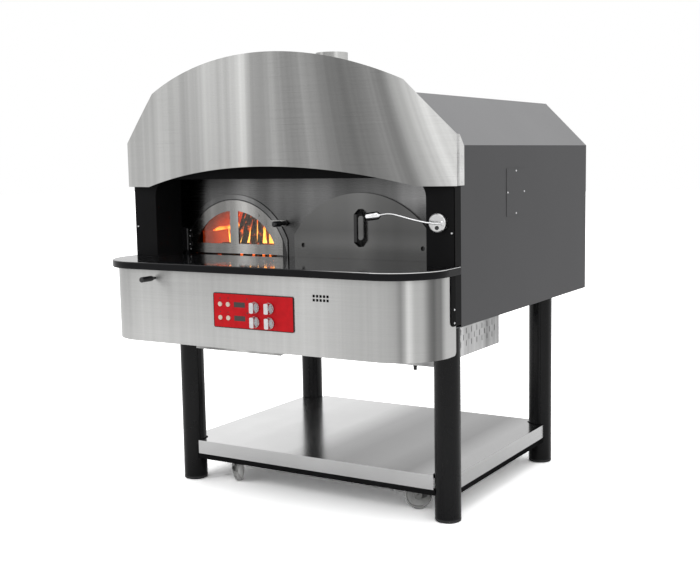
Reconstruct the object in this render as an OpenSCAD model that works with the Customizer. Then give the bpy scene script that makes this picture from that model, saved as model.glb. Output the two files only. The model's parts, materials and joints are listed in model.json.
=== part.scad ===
// Rotating deck pizza oven on a four leg stand.
// X runs to the right, Y to the back, Z up. The floor is at Z = 0.
// Sizes below are laid out from the middle of the four legs, and in_frame() moves the
// whole oven so that its own middle stands on the origin.

/* [Stand] */
// Outside diameter of a leg tube
leg_dia = 114.3; // [100:0.1:130]
// Wall of a leg tube
leg_wall = 3; // [2:0.5:5]
// Distance of a leg's axis inside the body's side
leg_side_inset = 142; // [130:1:180]
// Distance of the rear legs' axes in front of the body's back
leg_rear_inset = 264.5; // [220:0.5:300]
// Height of the rubber foot plug
foot_h = 14; // [10:1:20]
// Height of the lower shelf above the floor
tray_z = 200; // [180:1:260]
// Depth of the lower shelf's folded edge
tray_edge = 65; // [55:1:75]
// How far the lower shelf reaches past the leg axes
tray_reach = 37; // [30:1:45]
// Gap between the lower shelf and a leg
tray_notch = 7; // [4:1:10]
// Side of the lower frame's square tube
frame_tube = 25; // [20:1:30]
// Height of the bearers that carry the castors
bearer_h = 32; // [28:1:36]
// Width of a bearer
bearer_w = 60; // [50:1:80]
// Share of the leg's round that its inner cover takes, in degrees
cover_angle = 136; // [110:1:150]

/* [Castors] */
// Diameter of a castor wheel
wheel_dia = 125; // [100:1:126]
// Width of a castor wheel
wheel_w = 32; // [26:1:36]
// Gap between a wheel and the floor while the legs carry the oven
wheel_lift = 3; // [1:0.5:5]
// Distance of a wheel's axle behind its swivel pin
castor_trail = 26; // [20:1:27]
// Distance of a swivel pin inside a leg's axis, left to right
castor_side_inset = 207; // [200:1:240]
// Distance of a swivel pin inside a leg's axis, front to back
castor_end_inset = 60.5; // [60.5:0.5:90]
// Thickness of a castor's plates
castor_plate = 4; // [3:0.5:5]
// Radius of a castor's axle
axle_r = 5; // [4:0.5:6]

/* [Body] */
// Width over the side panels
body_w = 1680; // [1640:1:1720]
// Depth of the side panels and the rear panel
body_d = 1490; // [1460:1:1600]
// Height of the body's underside above the floor
body_z = 876; // [860:1:900]
// Height of a side panel
side_h = 733; // [715:1:800]
// Height that the sloping roof panels rise at 45 degrees
roof_rise = 219; // [200:1:260]
// How far the side panels reach in front of the front legs' axes
body_reach = 154.5; // [130:0.5:160]
// Thickness of the body's sheet metal
sheet = 2; // [1.5:0.5:3]
// Side of the access cover on the right
access_side = 209; // [150:1:230]
// Middle of the access cover behind the side panel's front edge
access_back = 564; // [400:1:700]
// Middle of the access cover above the body's underside
access_up = 528; // [400:1:560]

/* [Portal] */
// Depth of the black portal in front of the side panels
portal_d = 55; // [45:1:70]
// Width of a portal post
post_w = 128; // [115:1:140]
// Thickness of the portal's plate
portal_t = 3; // [2:0.5:4]
// Height of the recess over the stone shelf
recess_h = 357; // [345:1:380]
// Depth of the recess from the portal's face to the front plate
recess_d = 183; // [170:1:200]
// Radius of the recess's top corners
recess_r = 80; // [60:1:100]
// How far the side strips reach in front of the portal's face under the stone
strip_reach = 39; // [30:1:50]

/* [Stone shelf and apron] */
// Height of the stone shelf's top above the floor
work_z = 1125; // [1115:1:1140]
// Thickness of the stone shelf
stone_t = 32; // [28:1:36]
// How far the stone shelf reaches in front of the portal
stone_reach = 301; // [280:1:330]
// How far the stone shelf passes through the portal, behind the portal's face
stone_seat = 43; // [36:1:46]
// How far the stone shelf reaches past the side panels at each end
stone_over = 7; // [4:1:12]
// Radius of the stone shelf's front corners
stone_r = 230; // [180:1:240]
// Height of the apron under the stone shelf
apron_h = 326; // [310:1:335]
// Distance of the apron behind the stone shelf's front edge
apron_inset = 35; // [25:1:45]
// Distance of the apron's ends inside the stone shelf's ends
apron_side_inset = 10.3; // [10.3:0.1:14]

/* [Hood] */
// Height of the hood's lower corners above the floor
hood_z = 1449; // [1440:1:1460]
// Width over the hood's two ends
hood_w = 1716; // [1700:1:1740]
// How far the hood's middle bows out in front of its ends
hood_bow = 118; // [90:1:140]
// Distance of the hood's ends in front of the portal's face
hood_reach = 18; // [14:1:26]
// Height of the hood's upright ends
hood_end_h = 204; // [180:1:230]
// Half width of the hood's arched top
hood_knee_x = 650; // [600:1:700]
// Height of the arched top's foot over the hood's lower corners
hood_knee_h = 423; // [400:1:440]
// Height of the hood's top over its lower corners
hood_top_h = 565; // [540:1:590]
// Half width of the arch in the hood's lower edge
hood_arch_x = 699; // [660:1:720]
// Rise of the arch in the hood's lower edge
hood_arch_h = 88; // [70:1:100]
// Thickness of the hood's sheet
hood_t = 1.5; // [1:0.5:2]

/* [Flue] */
// Diameter of the flue pipe
flue_dia = 150; // [130:1:160]
// Wall of the flue pipe
flue_wall = 2; // [1:0.5:3]
// Distance of the flue's axis behind the side panels' front edge
flue_back = 390; // [370:1:400]
// Height of the flue pipe over the roof
flue_h = 222; // [150:1:250]

/* [Controls] */
// Width of the control panel
panel_w = 413; // [405:1:430]
// Height of the control panel
panel_h = 149; // [140:1:170]
// Middle of the control panel to the right of the oven's middle
panel_x = 33; // [20:1:50]
// Height of the control panel's middle over the apron's lower edge
panel_up = 166; // [156:1:176]
// Thickness of the control panel
panel_t = 3; // [2:0.5:4]
// Diameter of a control knob
knob_dia = 47; // [40:1:50]
// Depth of a control knob
knob_d = 28; // [22:1:32]
// Diameter of a push button
button_dia = 20; // [16:1:22]
// Travel of a push button
button_travel = 2.5; // [2:0.5:3]
// Side of a square vent hole in the apron
vent_side = 11; // [8:1:12]
// Distance between vent holes
vent_pitch = 16.5; // [15:0.5:20]
// Height of the pull rod above the apron's lower edge
rod_up = 288; // [280:1:300]
// Distance of the pull rod to the left of the oven's middle
rod_x = 500; // [470:1:520]
// How far the pull rod's grip stands out of the apron
rod_out = 92; // [90:1:120]

/* [Fire door] */
// Distance of the fire door's middle to the left of the oven's middle
fire_x = 390; // [380:1:400]
// Radius of the fire door frame's outer arch
fire_r = 322; // [315:1:326]
// Half width of the fire door frame
fire_half = 300; // [296:1:302]
// Height of the arch centre below the stone shelf's top
fire_drop = 41; // [35:1:50]
// Width of the fire door's frame ring
fire_ring = 24; // [20:1:28]
// Thickness of the fire door and its frame
fire_t = 6; // [4:0.5:8]
// Radius of the two window panes' common arch
pane_r = 246; // [235:1:250]
// Width of the bar between the two panes
mullion_w = 48; // [40:1:60]
// Height of the panes' lower edge over the stone shelf
pane_up = 51; // [45:1:60]

/* [Mouth door] */
// Distance of the mouth door's middle to the right of the oven's middle
mouth_x = 303; // [295:1:310]
// Radius of the mouth door's arch
mouth_r = 420; // [410:1:426]
// Half width of the mouth door
mouth_half = 351; // [340:1:356]
// Height of the mouth door's arch centre below the stone shelf's top
mouth_drop = 130; // [120:1:140]
// Thickness of the mouth door
mouth_t = 10; // [6:1:14]
// Width of the mouth door's bow handle
handle_w = 16; // [12:1:24]
// Height of the mouth door's bow handle
handle_h = 165; // [150:1:180]
// How far the bow handle stands out of the door
handle_out = 47.5; // [42:0.5:60]
// Thickness of the bow handle's grip
handle_bar = 14; // [10:1:16]

/* [Lamp] */
// Distance of the lamp's disc inside the body's side
lamp_inset = 68; // [64:1:75]
// Height of the lamp's disc over the stone shelf
lamp_up = 178; // [150:1:220]
// Diameter of the lamp's disc
lamp_dia = 75; // [60:1:90]
// Thickness of the lamp's disc
lamp_t = 25; // [18:1:30]
// Diameter of the gooseneck
neck_dia = 8; // [6:1:10]
// Diameter of the lamp head
head_dia = 34; // [26:1:38]
// Length of the lamp head
head_l = 62; // [50:1:80]

/* [Oven chamber] */
// Gap between the front plate and the chamber's round wall
dome_front = 28; // [20:1:50]
// Gap between the chamber's round wall and the body's back
dome_rear = 31; // [24:1:60]
// Thickness of the baking stone
deck_t = 45; // [30:1:50]
// Gap between the baking stone and the chamber wall
deck_gap = 10; // [6:1:15]
// Thickness of the chamber's refractory wall
dome_t = 90; // [70:1:95]
// Height of the chamber's upright wall over the stone shelf
dome_wall_h = 115; // [100:1:130]
// Rise of the dome over its upright wall
dome_rise = 230; // [180:1:250]
// Thickness of the insulation round the dome
insul_t = 60; // [40:1:70]
// Wall of the mouth and fire tunnels
tunnel_wall = 45; // [35:1:50]
// Half width of the mouth tunnel
mouth_tunnel = 250; // [230:1:260]
// Half width of the fire tunnel
fire_tunnel = 235; // [220:1:240]
// Diameter of the burner tube
burner_dia = 42; // [30:1:50]

/* [Drive] */
// Module of the drive gears
gear_m = 3; // [2:0.5:4]
// Teeth of the gear on the deck's shaft
deck_teeth = 72; // [60:1:80]
// Teeth of the pinion
pinion_teeth = 18; // [16:1:24]
// Width of the gears
gear_w = 20; // [15:1:25]
// Diameter of the deck's shaft
shaft_dia = 40; // [30:1:50]
// Thickness of the hearth plate
hearth_t = 6; // [5:1:8]

/* [Boxes under the body] */
// Depth of the boxes below the body's underside
box_h = 208; // [190:1:215]
// Width of the service box
service_w = 381; // [350:1:400]
// Depth of the service box, front to back
service_d = 695; // [600:1:720]
// Distance of the service box's right side inside the body's side
service_inset = 204; // [202:1:220]
// Front of the service box behind the side panels' front edge
service_back = 150; // [140:1:200]
// Width of the ash drawer
drawer_w = 474; // [440:1:480]
// Depth of the ash drawer, front to back
drawer_d = 480; // [400:1:500]
// Distance of the ash drawer's left side inside the body's side
drawer_inset = 240; // [236:1:250]
// Front of the ash drawer behind the side panels' front edge
drawer_back = 87; // [80:1:100]

/* [Fits] */
// Gap that a seated or sliding piece keeps to its neighbour
clear = 0.3; // [0.2:0.05:0.4]
// Radial clearance of a shaft in its bearing
run = 0.05; // [0.02:0.01:0.09]

/* [Hidden] */
$fn = 96;
eps = 1;
gap45 = tan(22.5);

// Colours
steel = "silver";
black = "#1c1c1e";
grey = "#58585a";
red = "#d4171c";
chrome = "#e4e6e8";
stone = "#d9cfbd";

// Screws
screw_r = 2;
screw_head_r = 4.5;
screw_head_t = 2;
screw_dome = 1.2;
screw_l = 5;

// Stations, left to right and front to back
half_w = body_w / 2;
leg_x = half_w - leg_side_inset;
leg_y = (body_d - body_reach - leg_rear_inset) / 2;
castor_x = leg_x - castor_side_inset;
castor_y = leg_y - castor_end_inset;
leg_r = leg_dia / 2;
body_y = -leg_y - body_reach;
back_y = body_y + body_d;
portal_y = body_y - portal_d;
plate_y = portal_y + recess_d;
recess_x = half_w - post_w;
stone_y = portal_y - stone_reach;
stone_back = portal_y + stone_seat;
apron_y = stone_y + apron_inset;
stone_half = half_w + stone_over;
apron_half = stone_half - apron_side_inset;
apron_r = stone_r - apron_side_inset;
panel_y = apron_y - panel_t;
rod_tip_y = apron_y - rod_out;
flue_y = body_y + flue_back;
service_y = body_y + service_back;
drawer_y = body_y + drawer_back;
service_x = half_w - service_inset;
drawer_x = half_w - drawer_inset;
mid_y = (rod_tip_y + back_y + screw_head_t) / 2;

// Stations in height
wall_top = body_z + side_h;
roof_z = wall_top + roof_rise;
roof_half = half_w - roof_rise;
stone_bot = work_z - stone_t;
apron_bot = stone_bot - apron_h;
recess_top = work_z + recess_h;
liner_bot = stone_bot - portal_t;
tray_bot = tray_z - tray_edge;
frame_bot = tray_bot - frame_tube;
plate_t = 3;
plate_back = plate_y + plate_t;

// The round chamber fills the body from the front plate to the rear panel
chamber_r = (back_y - dome_rear - plate_back - dome_front) / 2;
deck_r = chamber_r - dome_t - deck_gap;
deck_y = plate_back + dome_front + chamber_r;

// Outline of the body's front view, drawn in by a given distance
function body_outline(inset, bottom) = [
    [half_w - inset, bottom],
    [half_w - inset, wall_top - inset * gap45],
    [roof_half - inset * gap45, roof_z - inset],
    [-roof_half + inset * gap45, roof_z - inset],
    [-half_w + inset, wall_top - inset * gap45],
    [-half_w + inset, bottom]];

module in_frame() {
    translate([0, -mid_y, 0]) children();
}

// Extrudes a front view from one Y towards the back
module front_view(y, depth) {
    translate([0, y + depth, 0]) rotate([90, 0, 0]) linear_extrude(depth) children();
}

// Extrudes a side view, drawn as Y and Z, from one X to the right
module side_view(x, width) {
    translate([x, 0, 0]) rotate([90, 0, 90]) linear_extrude(width) children();
}

module both_sides() {
    children();
    mirror([1, 0, 0]) children();
}

module rounded_rect(w, h, r) {
    square([w - 2 * r, h], center = true);
    square([w, h - 2 * r], center = true);
    for (x = [-1, 1], y = [-1, 1]) translate([x * (w / 2 - r), y * (h / 2 - r)]) circle(r);
}

// A box from its low corner to its high corner
module span(low, high) {
    translate(low) cube(high - low);
}

// A round bar from one point to another
module bar(a, b, r) {
    d = b - a;
    l = norm(d);
    translate(a) rotate([0, acos(d[2] / l), atan2(d[1], d[0])]) cylinder(h = l, r = r, $fn = 32);
}

// Legs
leg_places = [for (x = [-1, 1], y = [-1, 1]) [x * leg_x, y * leg_y]];
post_side = 50;
cover_z = tray_z + 1;
rib_t = 4;
cover_gap = 1.2;

// Turns the X axis of a leg's own drawing towards the middle of the stand
module at_legs() {
    for (p = leg_places)
        translate(p) rotate(atan2(-sign(p[1]), -sign(p[0]))) children();
}

module wedge(angle, r) {
    polygon([[0, 0], [r * cos(angle / 2), -r * sin(angle / 2)], [r * 2, -r * sin(angle / 2)],
        [r * 2, r * sin(angle / 2)], [r * cos(angle / 2), r * sin(angle / 2)]]);
}

module leg_ring(inner_cut) {
    difference() {
        circle(leg_r);
        circle(leg_r - leg_wall);
        if (inner_cut) wedge(cover_angle, leg_dia);
    }
}

module leg_post() {
    difference() {
        square(post_side, center = true);
        square(post_side - 2 * leg_wall, center = true);
    }
}

module legs() color(black) in_frame() at_legs() {
    translate([0, 0, foot_h]) linear_extrude(cover_z - foot_h) {
        leg_ring(false);
        leg_post();
        leg_ribs(0);
        leg_ribs(180);
    }
    translate([0, 0, cover_z - eps]) linear_extrude(body_z - cover_z + eps) {
        leg_ring(true);
        leg_post();
        leg_ribs(180);
    }
}

// Webs that tie the round shell to the square post
module leg_ribs(turn) {
    rotate(turn)
        translate([post_side / 2 - eps, -rib_t / 2])
            square([leg_r - leg_wall - post_side / 2 + 2 * eps, rib_t]);
}

module leg_inner_covers() color(black) in_frame() at_legs()
    translate([0, 0, cover_z + clear]) linear_extrude(body_z - cover_z - 2 * clear) {
        intersection() {
            leg_ring(false);
            wedge(cover_angle - 2 * atan(cover_gap / leg_r), leg_dia);
        }
        translate([post_side / 2 + clear, -rib_t / 2])
            square([leg_r - leg_wall - post_side / 2 - clear + eps, rib_t]);
    }

foot_round = 6;

module foot_plugs() color(black) in_frame() for (p = leg_places) translate(p) {
    translate([0, 0, foot_round]) cylinder(h = foot_h - foot_round, r = leg_r);
    cylinder(h = foot_round + eps, r = leg_r - foot_round);
    translate([0, 0, foot_round]) rotate_extrude() translate([leg_r - foot_round, 0]) circle(foot_round, $fn = 48);
}

// Stand frame
tray_x = leg_x + tray_reach;
tray_y = leg_y + tray_reach;
bearer_top = tray_z - sheet;
bearer_bot = bearer_top - bearer_h;
frame_edge = 1;
plate_side = 96;
castor_top = bearer_bot;
pin_r = 7;

module leg_holes(r) {
    for (p = leg_places) translate([p[0], p[1], -eps]) cylinder(h = body_z, r = r);
}

module tube_ring(x, y, z, side) {
    difference() {
        span([-x, -y, z], [x, y, z + side]);
        span([-x + side, -y + side, z - eps], [x - side, y - side, z + side + eps]);
    }
}

module lower_frame() color(black) in_frame() difference() {
    union() {
        tube_ring(tray_x - frame_edge, tray_y - frame_edge, frame_bot, frame_tube);
        for (s = [-1, 1]) translate([0, s * castor_y, 0]) {
            span([-tray_x + sheet + frame_edge, -bearer_w / 2, bearer_bot],
                [tray_x - sheet - frame_edge, bearer_w / 2, bearer_top]);
            for (m = [0, 1]) mirror([m, 0, 0])
                span([tray_x - frame_edge - frame_tube, -bearer_w / 2, tray_bot - eps],
                    [tray_x - sheet - frame_edge, bearer_w / 2, bearer_bot + eps]);
        }
        for (x = [-1, 1], y = [-1, 1])
            translate([x * castor_x, y * castor_y, castor_top - castor_plate / 2])
                cube([plate_side, plate_side, castor_plate], center = true);
    }
    leg_holes(leg_r + clear);
    for (x = [-1, 1], y = [-1, 1])
        translate([x * castor_x, y * castor_y, castor_top - castor_plate - eps])
            cylinder(h = castor_plate + pin_seat + eps, r = pin_r + run);
}

pin_seat = 14;

module lower_shelf() color(steel) in_frame() difference() {
    span([-tray_x, -tray_y, tray_bot], [tray_x, tray_y, tray_z]);
    span([-tray_x + sheet, -tray_y + sheet, tray_bot - eps], [tray_x - sheet, tray_y - sheet, tray_z - sheet]);
    leg_holes(leg_r + tray_notch);
}

// Castors
wheel_r = wheel_dia / 2;
axle_z = wheel_r + wheel_lift;
crown_r = 34;
crown_t = 8;
crown_top = castor_top - castor_plate - clear;
fork_in = wheel_w / 2 + 2.5;
fork_half = 17;
tyre_t = 9;
hub_r = 20;

// Name, side, end and heading of each castor's axle
front_left = [-1, -1, -38];
front_right = [1, -1, 28];
rear_left = [-1, 1, 200];
rear_right = [1, 1, 75];

// Moves a castor, drawn with its swivel pin on Z and trailing along X, to its place
module at_castor(c) {
    translate([c[0] * castor_x, c[1] * castor_y, 0]) rotate(c[2]) children();
}

module castor_fork(c) color(chrome) in_frame() at_castor(c) {
    translate([0, 0, crown_top - crown_t]) cylinder(h = crown_t, r = crown_r);
    translate([0, 0, crown_top - eps]) cylinder(h = castor_plate + pin_seat + clear - 1, r = pin_r);
    span([-fork_half, -fork_in - castor_plate, crown_top - crown_t - castor_plate],
        [castor_trail + fork_half, fork_in + castor_plate, crown_top - crown_t + eps]);
    for (s = [-1, 1]) translate([0, s * (fork_in + castor_plate / 2) + castor_plate / 2, 0])
        rotate([90, 0, 0]) linear_extrude(castor_plate) {
            polygon([[-fork_half, crown_top - crown_t], [castor_trail + fork_half, crown_top - crown_t],
                [castor_trail + fork_half, axle_z], [castor_trail - fork_half, axle_z]]);
            translate([castor_trail, axle_z]) circle(fork_half);
        }
    translate([castor_trail, 0, axle_z]) rotate([90, 0, 0])
        cylinder(h = 2 * (fork_in + castor_plate + 4), r = axle_r, center = true);
    for (s = [-1, 1]) translate([castor_trail, s * (fork_in + castor_plate + 3), axle_z]) rotate([90, 0, 0])
        cylinder(h = 6, r = axle_r + 4, center = true, $fn = 6);
}

// Half section of a wheel, drawn as radius and width
module wheel_section() {
    polygon([[axle_r + run, -wheel_w / 2], [hub_r, -wheel_w / 2], [hub_r + 3, -wheel_w / 5],
        [wheel_r - tyre_t - 4, -wheel_w / 5], [wheel_r - tyre_t, -wheel_w / 2 + 1],
        [wheel_r - 4, -wheel_w / 2 + 1], [wheel_r, -wheel_w / 4], [wheel_r, wheel_w / 4],
        [wheel_r - 4, wheel_w / 2 - 1], [wheel_r - tyre_t, wheel_w / 2 - 1],
        [wheel_r - tyre_t - 4, wheel_w / 5], [hub_r + 3, wheel_w / 5], [hub_r, wheel_w / 2],
        [axle_r + run, wheel_w / 2]]);
}

module castor_wheel(c) color("#d8d8d6") in_frame() at_castor(c)
    translate([castor_trail, 0, axle_z]) rotate([90, 0, 0]) rotate_extrude() wheel_section();

// Base frame inside the body
pan_x = half_w - sheet - clear;
pan_neck_x = apron_half - sheet - clear;
pan_front = portal_y + portal_t + clear;
pan_back = back_y - sheet - clear;
base_tube = 50;
hearth_z = work_z - 95;
hearth_top = hearth_z + hearth_t;
post_x = 620;
hearth_x = 745;
hearth_gap = 12;
cross_y = 230;
cross_h = 30;
hearth_back = pan_back - 20;
shaft_r = shaft_dia / 2;
rail_t = 3;
rail_lip = 12;
rail_drop = 40;
rail_z = body_z - rail_drop;

module base_frame() color(grey) in_frame() {
    difference() {
        union() {
            span([-pan_x, body_y, body_z], [pan_x, pan_back, body_z + sheet]);
            span([-pan_neck_x, pan_front, body_z], [pan_neck_x, body_y + eps, body_z + sheet]);
        }
        translate([burner_x, burner_y, body_z - eps]) cylinder(h = sheet + 2 * eps, r = feed_r + 2);
    }
    for (y = [plate_back + base_tube, deck_y - cross_y, deck_y + cross_y, hearth_back - base_tube])
        translate([0, y, 0]) {
            span([-hearth_x, -base_tube / 2, body_z + sheet - eps / 2],
                [hearth_x, base_tube / 2, body_z + sheet + cross_h]);
            for (s = [-1, 1]) translate([s * post_x, 0, 0])
                span([-base_tube / 2, -base_tube / 2, body_z + sheet], [base_tube / 2, base_tube / 2, hearth_z + eps]);
        }
    difference() {
        span([-hearth_x, plate_back + clear, hearth_z], [hearth_x, hearth_back, hearth_top]);
        translate([0, deck_y, hearth_z - eps]) cylinder(h = hearth_t + 2 * eps, r = shaft_r + hearth_gap);
        translate([burner_x, burner_y, hearth_z - eps]) cylinder(h = hearth_t + 2 * eps, r = feed_r + clear);
    }
    drawer_rails();
}

// Two hanging rails whose lips carry the ash drawer's flanges
module drawer_rails() {
    for (side = [-1, 1]) translate([drawer_mid + side * (drawer_w / 2 + rail_lip + clear), 0, rail_z]) {
        span([min(0, side * rail_t), drawer_y + rail_set, 0],
            [max(0, side * rail_t), drawer_y + drawer_d, rail_drop + eps / 2]);
        span([min(side * rail_t, side * (rail_gap - rail_lip)), drawer_y + rail_set, 0],
            [max(side * rail_t, side * (rail_gap - rail_lip)), drawer_y + drawer_d, rail_t]);
    }
}

rail_set = 6;
rail_gap = 2;
drawer_mid = drawer_w / 2 - drawer_x;

// Body panels
module side_panel(hole) difference() {
    span([half_w - sheet, body_y, body_z], [half_w, back_y - sheet, wall_top]);
    if (hole) {
        translate([half_w, access_y, access_z])
            cube([3 * sheet, access_side - 40, access_side - 40], center = true);
        for (p = access_screws) translate([half_w - 2 * sheet, p[0], p[1]]) rotate([0, 90, 0])
            cylinder(h = 3 * sheet, r = screw_r + run, $fn = 24);
    }
    for (z = hood_screw_z) translate([half_w, flange_screw_y, z]) rotate([0, 90, 0])
        cylinder(h = 3 * sheet, r = screw_r + run, center = true, $fn = 24);
}

module side_panel_left() color(grey) in_frame() mirror([1, 0, 0]) side_panel(false);

module side_panel_right() color(grey) in_frame() side_panel(true);

module roof_panel() color(grey) in_frame() difference() {
    front_view(body_y, body_d - sheet)
        polygon([[half_w, wall_top], [roof_half, roof_z], [-roof_half, roof_z], [-half_w, wall_top],
            [-half_w + sheet * sqrt(2), wall_top], [-roof_half + sheet * gap45, roof_z - sheet],
            [roof_half - sheet * gap45, roof_z - sheet], [half_w - sheet * sqrt(2), wall_top]]);
    translate([0, flue_y, roof_z - 2 * sheet]) cylinder(h = 4 * sheet, r = flue_dia / 2 + clear);
}

rear_edge = 14;
rear_rows = 4;
rear_end = 60;
rear_cols = 5;
rear_corner = 80;
rear_step_x = 2 * (roof_half - rear_corner) / (rear_cols - 1);
rear_step_z = (side_h - 2 * rear_end) / (rear_rows - 1);
rear_screws = concat(
    [for (x = [-1, 1], i = [0:rear_rows - 1]) [x * (half_w - rear_edge), body_z + rear_end + i * rear_step_z]],
    [for (i = [0:rear_cols - 1], z = [body_z + rear_edge, roof_z - rear_edge])
        [(i - (rear_cols - 1) / 2) * rear_step_x, z]]);

module rear_panel() color(grey) in_frame() difference() {
    front_view(back_y - sheet, sheet) polygon(body_outline(0, body_z));
    for (p = rear_screws) translate([p[0], back_y, p[1]]) rotate([90, 0, 0])
        cylinder(h = 3 * sheet, r = screw_r + run, center = true, $fn = 24);
}

// Access cover on the right side
access_y = body_y + access_back;
access_z = body_z + access_up;
access_edge = 11;
access_screws = [for (a = [0:90:270])
    [access_y + cos(a) * (access_side / 2 - access_edge), access_z + sin(a) * (access_side / 2 - access_edge)]];

module access_cover() color(grey) in_frame() difference() {
    span([half_w, access_y - access_side / 2, access_z - access_side / 2],
        [half_w + sheet, access_y + access_side / 2, access_z + access_side / 2]);
    for (p = access_screws) translate([half_w - eps, p[0], p[1]]) rotate([0, 90, 0])
        cylinder(h = 2 * sheet + eps, r = screw_r + run, $fn = 24);
}

// Portal
strip_bot = body_z + 12;
strip_top = stone_bot - clear;
strip_r = 25;
strip_screw_z = [strip_bot + 14, strip_bot + 68];
strip_screw_y = portal_y - strip_reach + 30;
face_screw_z = work_z + 136;
face_screw_x = half_w - 14;
bracket = 40;
bracket_x = 600;

module portal_frame() color(black) in_frame() difference() {
    union() {
        front_view(portal_y, portal_t) polygon(body_outline(0, strip_bot));
        front_view(portal_y, portal_d) difference() {
            polygon(body_outline(0, strip_bot));
            polygon(body_outline(portal_t, strip_bot - eps));
        }
        both_sides() side_view(half_w - portal_t, portal_t) side_strip();
        both_sides() span([bracket_x - bracket / 2, apron_y + sheet + 10, stone_bot - bracket],
            [bracket_x + bracket / 2, portal_y + eps, stone_bot]);
    }
    front_view(portal_y - eps, portal_t + 2 * eps) recess_outline(recess_x);
    stone_slot();
    both_sides() for (z = strip_screw_z) translate([half_w, strip_screw_y, z]) rotate([0, 90, 0])
        cylinder(h = 4 * portal_t, r = screw_r + run, center = true, $fn = 24);
    both_sides() translate([face_screw_x, portal_y, face_screw_z]) rotate([90, 0, 0])
        cylinder(h = 4 * portal_t, r = screw_r + run, center = true, $fn = 24);
}

module recess_outline(x) {
    translate([-x, liner_bot]) square([2 * x, recess_top - recess_r - liner_bot]);
    translate([-x + recess_r, recess_top - recess_r - eps]) square([2 * (x - recess_r), recess_r + eps]);
    for (s = [-1, 1]) translate([s * (x - recess_r), recess_top - recess_r]) circle(recess_r);
}

// The strip beside the apron, in front of the portal's face and under the stone
module side_strip() {
    y = portal_y - strip_reach;
    translate([y, strip_bot + strip_r]) square([strip_reach + eps, strip_top - strip_bot - strip_r]);
    translate([y + strip_r, strip_bot]) square([strip_reach - strip_r + eps, strip_r + eps]);
    translate([y + strip_r, strip_bot + strip_r]) circle(strip_r);
}

// The slot in which the stone shelf passes through the portal
module stone_slot() {
    span([-half_w - eps, portal_y - eps, stone_bot], [half_w + eps, stone_back + clear, work_z + clear]);
}

module recess_liner() color(black) in_frame() {
    both_sides() difference() {
        span([recess_x, portal_y + portal_t, liner_bot], [recess_x + sheet, plate_y, recess_top + sheet]);
        stone_slot();
    }
    span([-recess_x - eps / 2, portal_y + portal_t, recess_top], [recess_x + eps / 2, plate_y, recess_top + sheet]);
    span([-recess_x - eps / 2, portal_y + portal_t, liner_bot], [recess_x + eps / 2, plate_y, stone_bot]);
}

module front_plate() color(steel) in_frame() difference() {
    front_view(plate_y, plate_t) translate([-recess_x - sheet, liner_bot])
        square([2 * (recess_x + sheet), recess_top + sheet - liner_bot]);
    front_view(plate_y - eps, plate_t + 2 * eps)
        arch(mouth_x, mouth_cz, mouth_arch_r, mouth_tunnel, work_z);
    front_view(plate_y - eps, plate_t + 2 * eps)
        arch(-fire_x, fire_cz, fire_arch_r, fire_tunnel, work_z);
}

// An arch: a round top of radius r about a centre, cut off at half the width, over upright sides
module arch(x, centre_z, r, half, bottom) {
    foot = centre_z + sqrt(r * r - half * half);
    intersection() {
        translate([x, centre_z]) circle(r, $fn = 180);
        translate([x - half, foot - eps]) square([2 * half, r]);
    }
    translate([x - half, bottom]) square([2 * half, foot - bottom]);
}

// The same arch with its round top laid in flat courses, as bricks are
module brick_arch(x, centre_z, r, half, bottom) {
    a = asin(half / r);
    polygon(concat([[x - half, bottom]],
        [for (i = [0:courses]) let (t = -a + i * 2 * a / courses) [x + r * sin(t), centre_z + r * cos(t)]],
        [[x + half, bottom]]));
}

fire_cz = work_z - fire_drop;
mouth_cz = work_z - mouth_drop;
mouth_arch_r = mouth_tunnel + 80;
fire_arch_r = fire_tunnel + 40;
courses = 9;

// The bricks of a tunnel, or its bore, grown by a given thickness
module mouth_tunnel_view(grow, bottom) {
    brick_arch(mouth_x, mouth_cz, mouth_arch_r + grow, mouth_tunnel + grow, bottom);
}

module fire_tunnel_view(grow, bottom) {
    brick_arch(-fire_x, fire_cz, fire_arch_r + grow, fire_tunnel + grow, bottom);
}

// Hood
hood_half = hood_w / 2;
hood_end_y = portal_y - hood_reach;
hood_r = (hood_half * hood_half + hood_bow * hood_bow) / (2 * hood_bow);
hood_front = hood_end_y - hood_bow;
knee_z = hood_z + hood_knee_h;
hood_top = hood_z + hood_top_h;
hood_sag = hood_top_h - hood_knee_h;
hood_top_r = (hood_knee_x * hood_knee_x + hood_sag * hood_sag) / (2 * hood_sag);
hood_arch_r = (hood_arch_x * hood_arch_x + hood_arch_h * hood_arch_h) / (2 * hood_arch_h);
flange_back = body_y + 31;
flange_front = body_y - 10;
flange_screw_y = body_y + 12;
hood_screw_z = [hood_z + 14, hood_z + 67, hood_z + 119];
flange_top = wall_top - 3;
baffle_z = roof_z - 2 * sheet;

module hood_outline() difference() {
    union() {
        polygon([[-hood_half, hood_z], [hood_half, hood_z], [hood_half, hood_z + hood_end_h],
            [hood_knee_x, knee_z], [-hood_knee_x, knee_z], [-hood_half, hood_z + hood_end_h]]);
        intersection() {
            translate([0, hood_top - hood_top_r]) circle(hood_top_r, $fn = 360);
            translate([-hood_knee_x, knee_z - eps]) square([2 * hood_knee_x, hood_top]);
        }
    }
    translate([0, hood_z + hood_arch_h - hood_arch_r]) circle(hood_arch_r, $fn = 720);
}

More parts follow.
